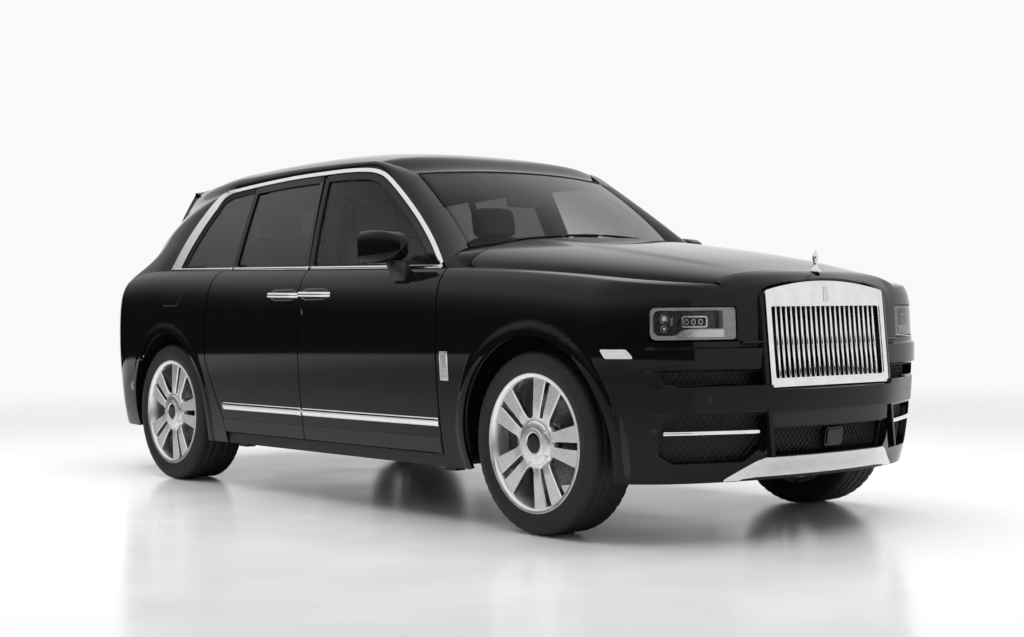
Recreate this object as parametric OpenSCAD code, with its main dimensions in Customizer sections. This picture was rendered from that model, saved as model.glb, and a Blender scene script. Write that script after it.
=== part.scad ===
// Luxury sport utility vehicle with coach doors, a two-piece tailgate and a tall upright grille.
// X points forward, Y to the left and Z up; the origin lies on the ground under the middle of its box.

/* [Overall] */
// Width over the door skins
body_width = 2000; // [1920:1:2080]
// Height of the roof crown above the ground
body_height = 1835; // [1780:1:1900]
// Reach of the door mirrors beyond the door skins
mirror_reach = 82; // [70:1:120]
// Distance between the axles
wheelbase = 3295; // [3200:1:3400]
// Nose ahead of the front axle
front_overhang = 880; // [850:1:920]
// Tail behind the rear axle
rear_overhang = 1166; // [1100:1:1250]

/* [Body side] */
// Height of the waist at mid length
waist_height = 1183; // [1150:1:1215]
// Underside of the sills
sill_height = 250; // [220:1:280]
// Lower edge of the doors
door_bottom = 312; // [300:1:340]
// Front edge of the front door behind the front axle
door_front_back = 635; // [600:1:660]
// Line between the doors behind the front axle
b_line_back = 1812; // [1780:1:1850]
// Rear edge of the rear door ahead of the rear axle
door_rear_ahead = 495; // [480:1:520]
// Door thickness from skin to inner trim
door_thickness = 105; // [80:1:120]
// Thickness of the fixed outer panels
panel_thickness = 26; // [20:1:32]
// Gap round doors and lids
shut_gap = 5; // [5:0.5:7]
// Gap at the hinged edge of a door
hinge_gap = 9; // [8:0.5:12]
// Gap between fixed panels
seam = 0.5; // [0.4:0.05:0.8]

/* [Running gear] */
// Outside diameter of the tyres
tyre_diameter = 788; // [760:1:800]
// Section width of the front tyres
front_tyre_width = 255; // [235:1:265]
// Section width of the rear tyres
rear_tyre_width = 285; // [265:1:295]
// Diameter of the rim flange
rim_diameter = 584; // [560:1:600]
// Distance from the centre plane to the outer tyre wall
tyre_face = 960; // [940:1:970]
// Radius of the wheel arches
arch_radius = 463; // [450:1:475]

/* [Front and rear] */
// Half width of the radiator grille
grille_half = 380; // [350:1:400]
// Lower edge of the grille
grille_bottom = 634; // [610:1:650]
// Upper corners of the grille
grille_corner = 1034; // [1010:1:1050]
// Number of grille vanes
vane_count = 21; // [15:2:25]
// Upper edge of the front bumper at the corners
bumper_top = 826; // [815:1:830]
// Lower edge of the headlamps
lamp_bottom = 832; // [820:1:845]
// Upper edge of the headlamps
lamp_top = 968; // [950:1:975]
// Line between the two parts of the tailgate
tailgate_split = 1088; // [1070:1:1095]
// Upper edge of the rear bumper
rear_bumper_top = 690; // [660:1:710]

/* [Cabin] */
// Upper face of the cabin floor
floor_height = 330; // [320:1:345]
// Height of the seat cushions above the floor
cushion_height = 500; // [470:1:520]
// Width of one front seat
seat_width = 560; // [520:1:580]
// Running clearance between turning pieces
running = 0.3; // [0.2:0.05:0.4]

/* [Hidden] */
$fa = 6;
$fs = 4;
eps = 0.02;
// half of the length over the bumpers
xn = (front_overhang + wheelbase + rear_overhang) / 2;
xf = xn - front_overhang;
xr = xf - wheelbase;
hw = body_width / 2;
tyre_r = tyre_diameter / 2;
rim_r = rim_diameter / 2;
door_front_x = xf - door_front_back;
b_x = xf - b_line_back;
door_rear_x = xr + door_rear_ahead;
// start of the front corner, its depth and its half width
fc_x = xf + 310;
fc_depth = 535;
// start of the rear corner and its depth
rc_depth = 671;
rc_x = rc_depth - xn;
corner_run = 1000;
// top of the roof panel over the side glass
rail_half = 746;
// share by which the roof narrows towards the tail
roof_taper = 0.19;
// inward lean of the front pillars towards the roof, at the pillar foot
pillar_lean = 180;
// heights above the waist follow the height of the roof
waist_z = 1190;
lift = (body_height - waist_z) / 645;
function up(z) = waist_z + (z - waist_z) * lift;
// rear end of the roof panel
roof_back = 911 - xn;

// Small helpers
function mix(a, b, t) = a + (b - a) * t;
function unit01(t) = min(1, max(0, t));
function ease(t) = let(c = unit01(t)) c * c * (3 - 2 * c);
function seg_of(k, x, i = 0) = (i >= len(k) - 2 || x < k[i + 1][0]) ? i : seg_of(k, x, i + 1);
function tangent(k, i) = let(a = max(0, i - 1), b = min(len(k) - 1, i + 1))
  (k[b][1] - k[a][1]) / (k[b][0] - k[a][0]);
// smooth curve through keyed points [x, value]
function keyed(k, x) =
  let(i = seg_of(k, x), h = k[i + 1][0] - k[i][0], t = unit01((x - k[i][0]) / h), u = 1 - t)
  k[i][1] * u * u * (1 + 2 * t) + k[i + 1][1] * t * t * (3 - 2 * t)
  + tangent(k, i) * h * t * u * u - tangent(k, i + 1) * h * t * t * u;
function steps(a, b, n) = [for (i = [0 : n]) mix(a, b, i / n)];

// Body side: plan curve, falling shoulder and rounded section
function shoulder_z(x) =
  let(d = max(0, x - door_front_x), r = max(0, xr - 150 - x))
  waist_height - 0.0213 * min(x, door_front_x) - 0.0435 * d - 0.000027 * d * d - 0.00014 * r * r;
section = [[240, 62], [330, 40], [450, 22], [620, 7], [800, 0], [960, 3], [1060, 12], [1120, 27], [1160, 47],
           [1190, 74]];
// Bulge of the lower nose, so that the bumper reaches the stated length
nose_bulge = xn - fc_x - fc_depth + keyed(section, 552);
function side_inset(x, z) =
  let(n = z < 620 ? z : 620 + (z - 620) * 570 / (shoulder_z(x) - 620))
  keyed(section, n) * (n > 800 ? 1 - 0.6 * ease((x - fc_x) / 420) : 1);
function plan_half(x) =
  let(f = max(0, x - xf + 1490), r = max(0, xr + 1205 - x))
  hw - 24 * pow(f / 1490, 2) - 10 * pow(r / 1205, 4);
fc_half = plan_half(fc_x);
rc_half = plan_half(rc_x);
function corner_front(t) = [fc_x + fc_depth * pow(cos(t), 0.77), fc_half * sin(t)];
function corner_rear(t) = [rc_x - rc_depth * cos(t), rc_half * pow(sin(t), 2 / 3)];
function rear_angle(y) = asin(pow(y / rc_half, 1.5));
function unit2(v) = v / max(1e-6, norm(v));
function front_normal(t) = unit2([pow(max(cos(t), 0), 1.23) / fc_depth * 1.3, sin(t) / fc_half]);
function rear_normal(t) = unit2([-2 * cos(t) / rc_depth, 3 * pow(sin(t), 4 / 3) / rc_half]);
// u runs along X on the side and then round the corners to the centre line
function u_front(angle) = fc_x + corner_run * (1 - angle / 90);
function u_rear(angle) = rc_x - corner_run * (1 - angle / 90);
function plan_point(u) =
  u > fc_x ? corner_front(90 * (1 - (u - fc_x) / corner_run)) :
  u < rc_x ? corner_rear(90 * (1 - (rc_x - u) / corner_run)) : [u, plan_half(u)];
function plan_normal(u) =
  u > fc_x ? front_normal(90 * (1 - (u - fc_x) / corner_run)) :
  u < rc_x ? rear_normal(90 * (1 - (rc_x - u) / corner_run)) : [0, 1];
// low middle of the front bumper swells forward of the corner curve
function bulge(p, z) =
  p[0] < fc_x ? 0 : nose_bulge * ease((640 - z) / 60) * ease((z - 250) / 150) * ease((700 - p[1]) / 420);
function body_point(u, z, depth) =
  let(p = plan_point(u), n = plan_normal(u), q = p - n * (side_inset(p[0], z) + depth))
  [q[0] + bulge(p, z), q[1], z];
function side_y(x, z) = plan_half(x) - side_inset(x, z);

// Greenhouse side and roof
function glass_half(x) = hw - 74 - 20 * pow((x + 100) / 1240, 2);
function glass_y(x, z) = let(t = (z - waist_z) / lift / 510) glass_half(x) - 150 * t - 28 * t * abs(t)
  - pillar_lean * max(0, t) * pow(max(0, x + 100) / 1240, 2);
// outline of the side windows from the front pillar foot over the roof rail to the rear pillar foot
dlo = [[xf - 645, 1164], [xf - 846, up(1316)], [xf - 1062, up(1467)], [xf - 1330, up(1636)], [xf - 1396, up(1668)],
       [xf - 1480, up(1690)], [xf - 1640, up(1703)], [xf - 1930, up(1706)], [xr + 1075, up(1704)], [xr + 745, up(1691)],
       [xr + 425, up(1664)], [xr + 335, up(1648)], [xr + 280, up(1610)], [xr + 170, up(1425)], [xr + 58, up(1234)]];
function turn_in(a, b) = let(d = unit2(b - a)) [d[1], -d[0]] * -1;
function vertex_in(p, i) =
  i == 0 ? turn_in(p[0], p[1]) :
  i == len(p) - 1 ? turn_in(p[i - 1], p[i]) :
  let(m = turn_in(p[i - 1], p[i]) + turn_in(p[i], p[i + 1])) m * 2 / (m * m);
function path_in(p, d) = [for (i = [0 : len(p) - 1]) p[i] + vertex_in(p, i) * d];
function on_side(q, depth) = [q[0], glass_y(q[0], q[1]) - depth, q[1]];
function b_line(z) = b_x - 0.19 * max(0, z - waist_z) / lift;
function b_gap(z) = shut_gap / 2 + 7.5 * unit01((z - waist_z) / lift / 510);
roof_keys = [[roof_back - 200, 1728], [roof_back, 1757], [xr + 105, 1796], [xr + 605, 1826], [xr + 1105, 1835],
             [xf - 1790, 1820], [xf - 1490, 1784], [xf - 1340, 1742], [xf - 1180, 1676]];
function roof_mid(x) = up(keyed(roof_keys, x));
function roof_z(x, w) = let(z0 = up(1690)) z0 + (roof_mid(x) - z0) * pow(max(0, 1 - pow(abs(w), 2.4)), 0.5);

// Bonnet
function bonnet_half(x) = 800 - 240 * pow(max(0, x - xf + 540) / 1260, 3.4);
bonnet_keys = [[xf - 640, 1322], [xf - 180, 1268], [xf + 280, 1200], [xf + 720, 1118], [xf + 820, 1092]];
function bonnet_mid(x) = keyed(bonnet_keys, x);
function bonnet_z(x, w) =
  let(e = shoulder_z(x)) e + (bonnet_mid(x) - e) * pow(max(0, 1 - pow(abs(w), 2.6)), 0.4545);
bonnet_front = xf + 704;
// stations shared by the bonnet edge and the fender edge
line_x = concat(steps(door_front_x + hinge_gap / 2, fc_x, 8),
  [fc_x + 160, fc_x + 250, fc_x + 310, fc_x + 355, bonnet_front - 3]);
function bonnet_rear(w) = mix(xf - 565, line_x[0] + 6, w * w);

// Windscreen
function screen_foot(w) = [xf - 640 - 120 * w * w, 700 * w, 1325 - 63 * w * w];
function screen_head(w) = [xf - 1180 - 90 * w * w, 622 * w, up(1676) - 24 * lift * pow(abs(w), 2.2)];
function screen_point(w, v) = mix(screen_foot(w), screen_head(w), v) + [0.6, 0, 0.8] * 18 * sin(180 * v);

// Tail above the shoulder: distance from the rear end against height, and half width of the tailgate
tail_keys = [[1040, 40.5], [1090, 64.5], [1140, 108.5], [1185, 180.5], [up(1222), 246.5], [up(1690), 720.5],
             [up(1700), 735.5]];
function tail_x(z, w) = keyed(tail_keys, z) - xn + 95 * pow(abs(w), 2.3);
tail_widths = [[1040, 606], [1140, 618], [up(1220), 652], [up(1320), 660], [up(1500), 610],
  [up(1700), 0.93 * rail_half * (1 - roof_taper) - shut_gap]];
function tail_half(z) = keyed(tail_widths, z);

// Solid from points and triangles, its faces turned outward whatever the order they come in
function swell(points, faces) = [for (f = faces) cross(points[f[0]], points[f[1]]) * points[f[2]]];
function total(v) = v * [for (i = v) 1];
module skin_solid(points, faces) {
  polyhedron(points = points, convexity = 6,
    faces = total(swell(points, faces)) < 0 ? faces : [for (f = faces) [f[0], f[2], f[1]]]);
}
// Solid between two grids of points
module grid_solid(outer, inner) {
  nr = len(outer);
  nc = len(outer[0]);
  points = concat([for (r = outer) for (p = r) p], [for (r = inner) for (p = r) p]);
  base = nr * nc;
  function at(r, c) = r * nc + c;
  top = [for (r = [0 : nr - 2]) for (c = [0 : nc - 2])
    each [[at(r, c), at(r, c + 1), at(r + 1, c + 1)], [at(r, c), at(r + 1, c + 1), at(r + 1, c)]]];
  low = [for (f = top) [base + f[0], base + f[2], base + f[1]]];
  rim = concat([for (c = [0 : nc - 1]) at(0, c)], [for (r = [1 : nr - 1]) at(r, nc - 1)],
    [for (c = [nc - 2 : -1 : 0]) at(nr - 1, c)], [for (r = [nr - 2 : -1 : 1]) at(r, 0)]);
  n = len(rim);
  wall = [for (i = [0 : n - 1]) let(a = rim[i], b = rim[(i + 1) % n])
    each [[a, base + a, base + b], [a, base + b, b]]];
  skin_solid(points, concat(top, low, wall));
}
// Closed hoop of sections
module hoop_solid(loops) {
  m = len(loops);
  n = len(loops[0]);
  faces = [for (k = [0 : m - 1]) for (i = [0 : n - 1])
    let(a = k * n + i, b = k * n + (i + 1) % n, c = ((k + 1) % m) * n + i, d = ((k + 1) % m) * n + (i + 1) % n)
    each [[a, b, d], [a, d, c]]];
  skin_solid([for (l = loops) for (p = l) p], faces);
}
// Bar of four-sided sections with closed ends
module bar_solid(rows) {
  n = len(rows);
  k = len(rows[0]);
  sides = [for (r = [0 : n - 2]) for (i = [0 : k - 1])
    let(a = r * k + i, b = r * k + (i + 1) % k, c = a + k, d = b + k) each [[a, b, d], [a, d, c]]];
  head = [for (i = [1 : k - 2]) [0, i + 1, i]];
  tail = [for (i = [1 : k - 2]) [(n - 1) * k, (n - 1) * k + i, (n - 1) * k + i + 1]];
  skin_solid([for (r = rows) for (p = r) p], concat(sides, head, tail));
}
module both() {
  children();
  mirror([0, 1, 0]) children();
}
module box(a, b) {
  translate([min(a[0], b[0]), min(a[1], b[1]), min(a[2], b[2])])
    cube([abs(b[0] - a[0]), abs(b[1] - a[1]), abs(b[2] - a[2])]);
}
// Disc or ring about an axis along Y
module round_y(r, y0, y1, at, bore = 0) {
  translate([at[0], y0, at[1]]) rotate([-90, 0, 0]) difference() {
    cylinder(r = r, h = y1 - y0);
    if (bore > 0) translate([0, 0, -1]) cylinder(r = bore, h = y1 - y0 + 2);
  }
}

// Rear edge of the rear door against height
edge_keys = [[312, 659], [387, 648], [633, 534], [716, 500], [851, 495], [1013, 520], [1135, 544], [1215, 606]];
function door_edge(z) = xr + door_rear_ahead - 495 + keyed(edge_keys, z);
c_seam = xr + 676;
rows_z = [330, 450, 620, 800, 960, 1060, 1120, 1160];
function side_rows(z0) = concat([z0], rows_z, [1190]);
// nominal row heights follow the falling shoulder above mid height
function row_z(x, z) = z < 620 ? z : 620 + (z - 620) * (shoulder_z(x) - 620) / 570;
function body_row(u, z, depth) = body_point(u, row_z(plan_point(u)[0], z), depth);

module arch_cut(x) {
  both() translate([x, 400, tyre_r]) rotate([-90, 0, 0]) cylinder(r = arch_radius, h = hw, $fn = 72);
}

module floor_pan() color("DimGray") {
  x0 = xr + 500;
  x1 = xf - 505;
  side = 836;
  union() {
    box([x0, -side, floor_height - 60], [x1, side, floor_height]);
    both() box([door_edge(312) - hinge_gap + seam, 800, sill_height],
      [door_front_x + hinge_gap / 2 - seam, 934, door_bottom - shut_gap - 1]);
    both() box([x0, 770, floor_height - 60], [x1, side, 420]);
    // bulkhead
    box([x1 - 30, -side, floor_height - 60], [x1, side, 1090 - seam]);
    // heel board, load floor and inner wheelhouse walls
    box([x0 - 30, -560, floor_height - 60], [x0, 560, 640]);
    box([-xn + 206, -560, 600], [x0, 560, 640]);
    both() box([-xn + 206, 540, 580], [x0, 560, 905]);
    // thrust pads under the hinged corners of the doors
    both() for (x = [door_front_x - hinge_gap / 2 - 70, door_edge(312) + 20])
      box([x, 870, door_bottom - shut_gap - 2], [x + 50, 930, door_bottom - running]);
    // jacking pads
    both() for (x = [door_front_x - 60, x0 + 190])
      box([x - 40, 812, sill_height - 25], [x + 40, 868, sill_height + 1]);
  }
}

module front_structure() color("DimGray") union() {
  x1 = xf - 505;
  both() box([x1, 400, 430], [xn - 150, 470, 540]);
  box([xn - 185, -470, 430], [xn - 150, 470, 540]);
  // radiator and its carrier
  box([xn - 235, -340, 330], [xn - 180, 340, 980]);
  // upper aprons from the bulkhead to the lamps
  both() box([x1, 420, 940], [xn - 260, 480, 985]);
  both() box([xn - 260, 420, 540], [xn - 215, 480, 985]);
  // rubber stops under the bonnet
  both() for (i = [3, 8]) let(p = bonnet_spot(bonnet_xs[i], 0.5, 30), q = bonnet_spot(bonnet_xs[i], 0.75, 30),
    t = mix(p, q, (450 - p[1]) / (q[1] - p[1])))
    translate([t[0], t[1], 984]) cylinder(r1 = 18, r2 = 1.5, h = t[2] - 984 - running - 0.4);
}

module front_fenders() {
  us = concat(steps(door_front_x + hinge_gap / 2, fc_x, 8), [for (a = [78, 68, 57, 46, 36]) u_front(a)]);
  function top_edge(u, k) =
    let(s = body_row(us[u], 1190, 0), x = line_x[u], e = [x, bonnet_half(x) + shut_gap / 2 + (u > 11 ? 3 : 0), shoulder_z(x) + 2])
    mix(s, e, k) + [0, 0, 9 * sin(180 * k)];
  ids = [0 : len(us) - 1];
  outer = concat([for (z = side_rows(sill_height)) [for (u = us) body_row(u, z, 0)]],
    [for (k = [0.5, 1]) [for (i = ids) top_edge(i, k)]]);
  inner = concat([for (z = side_rows(sill_height)) [for (u = us)
      body_row(u, z, panel_thickness) - [0, 0, z > 1100 ? panel_thickness * 0.8 : 0]]],
    [for (k = [0.5, 1]) [for (i = ids) top_edge(i, k) - [0, 0, panel_thickness]]]);
  color("#0b0b0d") both() difference() {
    grid_solid(outer, inner);
    arch_cut(xf);
    // bumper and lamp openings
    box([xf + 60, 300, sill_height - 50], [xn + 50, hw + 50, bumper_top + seam]);
    box([lamp_back, 300, 700], [xn + 50, hw + 50, lamp_top + seam]);
  }
}

module slot_cut(pts) {
  rotate([90, 0, 90]) translate([0, 0, xf + 330]) linear_extrude(height = front_overhang) polygon(pts);
}
// intake outlines seen from the front: y against z
low_intake = [[470, 332], [750, 332], [800, 366], [806, 440], [796, 500], [764, 527], [412, 527], [412, 395]];
mid_intake = [[-384, 350], [384, 350], [392, 410], [384, 468], [-384, 468], [-392, 410]];
slot_intake = [[412, 654], [786, 654], [812, 682], [812, 704], [412, 704]];
module front_bumper() {
  half = concat(steps(xf + 150, fc_x + 1, 2), [for (a = [79 : -9 : 16]) u_front(a)]);
  zs = [sill_height, 300, 352, 450, 552, 620, 690, 760, bumper_top];
  function wall(u, z, d) = body_point(u, z, d);
  function strip(d) = [for (z = zs) concat([for (u = half) wall(u, z, d)], [wall(u_front(0), z, d)],
    [for (i = [len(half) - 1 : -1 : 0]) let(p = wall(half[i], z, d)) [p[0], -p[1], p[2]]])];
  color("#0b0b0d") difference() {
    grid_solid(strip(0), strip(panel_thickness + 10));
    arch_cut(xf);
    box([xf + 400, -grille_half - 4, grille_bottom - 8], [xn + 50, grille_half + 4, bumper_top + 50]);
    slot_cut(mid_intake);
    both() slot_cut(low_intake);
    both() slot_cut(slot_intake);
  }
}

module intake_meshes() {
  d = panel_thickness + 17.2;
  function side_sheet(d, y0, y1, z0, z1) = [for (z = [z0, (z0 + z1) / 2, z1])
    [for (y = steps(y0, y1, 5)) body_point(u_front(asin(y / fc_half)), z, d)]];
  function mid_sheet(d) = [for (z = [340, 352, 400, 450, 478]) [for (y = steps(-406, 406, 12))
    let(p = body_point(u_front(asin(abs(y) / fc_half)), z, d)) [p[0], y, z]]];
  color("#1c1c1e") {
    grid_solid(side_sheet(d - 4, 445, 815, 320, 534), side_sheet(d + 5, 445, 815, 320, 534));
    mirror([0, 1, 0])
      grid_solid(side_sheet(d - 2.9, 445, 815, 320, 534), side_sheet(d + 5, 445, 815, 320, 534));
    both() grid_solid(side_sheet(d - 4.6, 408, 822, 646, 712), side_sheet(d + 2, 408, 822, 646, 712));
    grid_solid(mid_sheet(d + 4.2), mid_sheet(d + 12));
  }
}

nose_angle = 35.95;
function nose_lift(y, z) = 46 * max(0, 1 - pow(y / 480, 2)) * ease((z - 940) / 240);
ornament_x = xf + 757;
ornament_z = 1112;
module nose_panel() {
  as = steps(-nose_angle, nose_angle, 14);
  rows_n = [960, 1060, 1120, 1160, 1190];
  function face(a, z, d) = let(p = body_row(u_front(abs(a)), z, d), y = sign(a) * p[1])
    [p[0], y, p[2] + nose_lift(y, z) - (z > 1100 ? d * 0.8 : 0)];
  function back(a, d) = let(w = a / nose_angle * 0.985) [bonnet_front + shut_gap - 2, w * bonnet_half(bonnet_front),
    bonnet_z(bonnet_front, w) - d];
  function low(a, d) = let(p = body_point(u_front(abs(a)), bumper_top + seam, d)) [p[0], sign(a) * p[1], p[2]];
  function rows(d) = concat([[for (a = as) low(a, d)]], [for (z = rows_n) [for (a = as) face(a, z, d)]],
    [for (k = [0.5, 1]) [for (a = as) mix(face(a, 1190, 0) - [0, 0, d], back(a, d), k) + [0, 0, 8 * sin(180 * k)]]]);
  color("#0b0b0d") difference() {
    grid_solid(rows(0), rows(panel_thickness));
    // opening for the grille
    rotate([90, 0, 90]) translate([0, 0, xf + 650]) linear_extrude(height = 300)
      polygon(concat([[grille_half + seam, 600], [grille_half + seam, grille_corner + 1]],
        [for (y = [300, 150, 0, -150, -300]) [y, grille_arch(y) + 1]],
        [[-grille_half - seam, grille_corner + 1], [-grille_half - seam, 600]]));
    // flat seat of the ornament
    translate([ornament_x, 0, ornament_z]) cylinder(r = 27, h = 60);
  }
}

function grille_arch(y) = grille_corner + 42 * (1 - pow(y / grille_half, 2));
grille_lean = 4.85;
grille_x = xn - 36;
function grille_face(z) = grille_x - (z - grille_bottom) * tan(grille_lean);
module grille() {
  tall = grille_corner - grille_bottom;
  pitch = 2 * (grille_half - 35) / (vane_count + 1);
  ys = [1, 0.76, 0.5, 0.25, 0, -0.25, -0.5, -0.76, -1];
  color("Silver") translate([grille_x, 0, grille_bottom]) rotate([0, -grille_lean, 0]) {
    translate([-60, 0, 0]) rotate([90, 0, 90]) linear_extrude(height = 60) difference() {
      polygon(concat([[-grille_half, 0], [grille_half, 0]],
        [for (y = ys) [y * grille_half, tall + 42 * (1 - y * y)]]));
      translate([35 - grille_half, 38]) square([2 * grille_half - 70, tall - 104]);
    }
    for (i = [1 : vane_count]) translate([-44, 35 - grille_half + i * pitch - 4, 34]) cube([38, 8, tall - 96]);
  }
}

// outer end of the headlamps
lamp_back = xn - 270;
module headlamps() {
  function face(d) = [for (z = [lamp_bottom, 900, lamp_top]) [for (a = steps(36.4, 61.2, 7))
    let(p = body_point(u_front(a), z, d)) [max(p[0], lamp_back + seam), p[1], p[2]]]];
  color("Gainsboro") both() grid_solid(face(2), face(70));
}

module windscreen() {
  ws = steps(-0.985, 0.985, 10);
  function sheet(d) = [for (v = [0.01, 0.25, 0.5, 0.75, 0.9946]) [for (w = ws)
    screen_point(w, v) - d * [0.6, 0, 0.8]]];
  color("SlateGray", 0.6) {
    grid_solid(sheet(0), sheet(7));
  }
}

module cowl() color("#141416") union() {
  bar_solid([for (w = steps(-0.97, 0.97, 10)) let(p = screen_foot(w))
    [p + [4, 0, -12], p + [42, 0, -30], p + [42, 0, -170], p + [-40, 0, -170], p + [-40, 0, -24]]]);
  // tray on the bulkhead
  box([xf - 685, -600, 1090], [xf - 505, 600, 1165]);
}

// half width of the roof, narrowing behind the rear doors
function roof_half(x) = let(x0 = rail_upper(10)[0]) rail_half * (1 - roof_taper * ease((x0 - x) / (x0 - roof_back)));
function rail_upper(i) =
  i <= 4 ? screen_point(1, [0, 0.27, 0.6, 0.93, 0.995][i]) :
  [dlo[i][0], 0.93 * rail_half, roof_z(dlo[i][0], 0.93)];
function rail_section(i) =
  let(a = on_side(dlo[i], 0), b = rail_upper(i), m = (a + b) / 2 + (i <= 4 ? [14, 18, 10] : [0, 16, 12]))
  [a, m, b, b + [i <= 4 ? -6 : 0, 4, -40], a + [i <= 4 ? -10 : 0, -56, 8]];
module roof_rails() color("#0b0b0d") both() {
  bar_solid([for (i = [0 : 10]) rail_section(i)]);
  // centre pillar behind the door frames
  bar_solid([for (z = [420.5, 1110, 1200, up(1450), up(1680)])
    let(x = b_line(z), y = z < 500 ? 830 : z < 1150 ? 776 : glass_y(x, z) - (z < 1250 ? 80 : 54))
    [[x - 60, y, z], [x + 60, y, z], [x + 45, y - 60, z], [x - 45, y - 60, z]]]);
}

module roof_panel() {
  ws = steps(-0.93, 0.93, 12);
  back = roof_back;
  // the front row follows the head of the windscreen
  function row(v) = [for (w = ws) let(h = screen_head(w / 0.936), x = mix(h[0] - 2, back, v))
    v == 0 ? [x, h[1] * 0.997, h[2] + 4] : [x, w * (rail_half - 0.5), roof_z(x, w)]];
  rear_x = steps(rail_upper(10)[0] - 0.4, back, 7);
  // share of the roof's length at which its edge passes a corner of the rail
  edge_x = screen_head(0.93 / 0.936)[0] - 2;
  function rail_share(i) = (edge_x - dlo[i][0]) / (edge_x - back);
  outer = concat([row(0)], [for (i = [5 : 9]) row(rail_share(i))],
    [for (x = rear_x) [for (w = ws) [x, w * (roof_half(x) - 0.5), roof_z(x, w)]]]);
  color("#0b0b0d") union() {
    grid_solid(outer, [for (r = outer) [for (p = r) p - [0, 0, panel_thickness]]]);
    // rest pads behind the tailgate hinge
    both() box([back - shut_gap + running, 280, up(1716)], [back + 10, 330, up(1732)]);
  }
}

module quarter_panels() {
  zs = concat([sill_height], rows_z, [1190]);
  function us(z) = concat(steps(door_edge(min(max(z, 312), 1215)) - hinge_gap, rc_x, 6),
    [for (y = [950, 915, 860, 780, 690]) u_rear(rear_angle(y))]);
  outer = [for (z = zs) [for (u = us(z)) body_row(u, z, 0)]];
  inner = [for (z = zs) [for (u = us(z)) body_row(u, z, panel_thickness)]];
  color("#0b0b0d") both() difference() {
    grid_solid(outer, inner);
    arch_cut(xr);
    box([xr - 60, 300, 100], [-xn - 50, hw + 50, rear_bumper_top + seam]);
    // tail lamp opening
    box([-xn - 50, 700, 790], [rc_x - 250, 850, 1066]);
  }
}

module tail_lamps() {
  function face(d) = [for (z = [790 + seam, 930, 1066 - seam]) [for (a = steps(rear_angle(731), rear_angle(844), 4))
    body_point(u_rear(a), z, d)]];
  color("DarkRed") both() {
    grid_solid(face(1), face(22));
  }
}

// Rear pillar from the window edge to the tailgate
pillar_z = [for (z = [1222, 1340, 1500, 1620, 1690]) up(z)];
function tailgate_edge(z, w) = [tail_x(z, w), tail_half(z) * w, z];
pillar_us = concat(steps(xr + 46, rc_x, 3), [for (y = [946, 900, 820, 730]) u_rear(rear_angle(y))]);
module rear_pillars() {
  front = concat([[0, 0, 0]], [for (i = [13 : -1 : 11]) on_side(dlo[i], 0)],
    [on_side(dlo[10], 0) - [0.4, 0, 0], rail_section(10)[1] - [0.4, 0, 0]]);
  back = concat([[0, 0, 0]], [for (z = pillar_z) tailgate_edge(z, 1) + [0, shut_gap + 1, 0]]);
  function skin(k, i) = let(t = i / 7)
    k == 0 ? body_row(pillar_us[i], 1190, 0) + [0, 0, seam] :
    k == 6 ? let(x = mix(rail_upper(10)[0] - 0.4, roof_back, t)) [x, 0.93 * roof_half(x) + 0.3, roof_z(x, 0.93)] :
    mix(front[k], back[k], t) + [0, sin(180 * t) * (88 * pow(1 - k / 6, 1.2) + 10), 0];
  // the thickness turns forward towards the tailgate edge
  function depth(k, t) = k == 6 ? [0, 0, 34] : k == 0 ? [0, panel_thickness, 0] :
    [-40 * t * t, (panel_thickness + 8) * (1 - t * t), k == 5 ? 12 * (1 - t) : 0];
  color("#0b0b0d") both() grid_solid([for (k = [0 : 6]) [for (i = [0 : 7]) skin(k, i)]],
    [for (k = [0 : 6]) [for (i = [0 : 7]) skin(k, i) - depth(k, i / 7)]]);
}

module quarter_glass() {
  edge = path_in(dlo, 16);
  top = [for (i = [14 : -1 : 8]) [edge[i][0], edge[i][1]]];
  xs = concat([edge[14][0] - 4], [for (i = [13 : -1 : 10]) edge[i][0]], [c_seam - 8]);
  function sheet(d) = [for (k = [0, 0.5, 1]) [for (x = xs)
    let(z0 = shoulder_z(x) + 10, z1 = max(z0 + 6, keyed(top, x))) on_side([x, mix(z0, z1, k)], d)]];
  color("#202428", 0.7) both() {
    grid_solid(sheet(14), sheet(19));
  }
}

module window_trim() {
  // starts above the door and widens down the rear pillar
  path = concat([mix(dlo[0], dlo[1], 0.17)], [for (i = [1 : 14]) dlo[i]]);
  a = path_in(path, 0.45);
  wide = [for (i = [0 : 14]) i < 11 ? 21 : 21 + 9 * (i - 10)];
  b = [for (i = [0 : 14]) let(q = path[i] + vertex_in(path, i) * wide[i]) [q[0], max(q[1], shoulder_z(q[0]) + 3)]];
  color("Silver") both()
    bar_solid([for (i = [0 : 14]) [on_side(a[i], -5), on_side(b[i], -5), on_side(b[i], 12.4), on_side(a[i], 12.4)]]);
}

// Doors
door_upper = path_in(dlo, 27);
frame_wide = 34;
function door_top(i) = door_upper[i];
function front_outline() =
  let(zt = up(1706) - 27, zm = up(1450), zb = waist_height - 18)
  concat([for (i = [0 : 6]) door_upper[i]],
    [[b_line(zt) + b_gap(zt), zt], [b_line(zm) + b_gap(zm), zm], [b_line(1200) + b_gap(1200), 1200],
     [b_x + 30, zb], [xf - 1240, zb - 8], [xf - 760, zb - 18]]);
function rear_outline() =
  let(zt = up(1706) - 27, zm = up(1450), zb = waist_height - 2)
  concat([[b_line(zt) - b_gap(zt), zt]], [for (i = [8, 9]) door_upper[i]],
    [[c_seam + shut_gap / 2, up(1646)], [c_seam + shut_gap / 2, zm], [c_seam + shut_gap / 2, shoulder_z(c_seam) + 8],
     [c_seam + 60, zb], [xr + 1080, zb - 6], [b_x - 30, zb - 12],
     [b_line(1200) - b_gap(1200), 1200], [b_line(zm) - b_gap(zm), zm]]);
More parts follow.
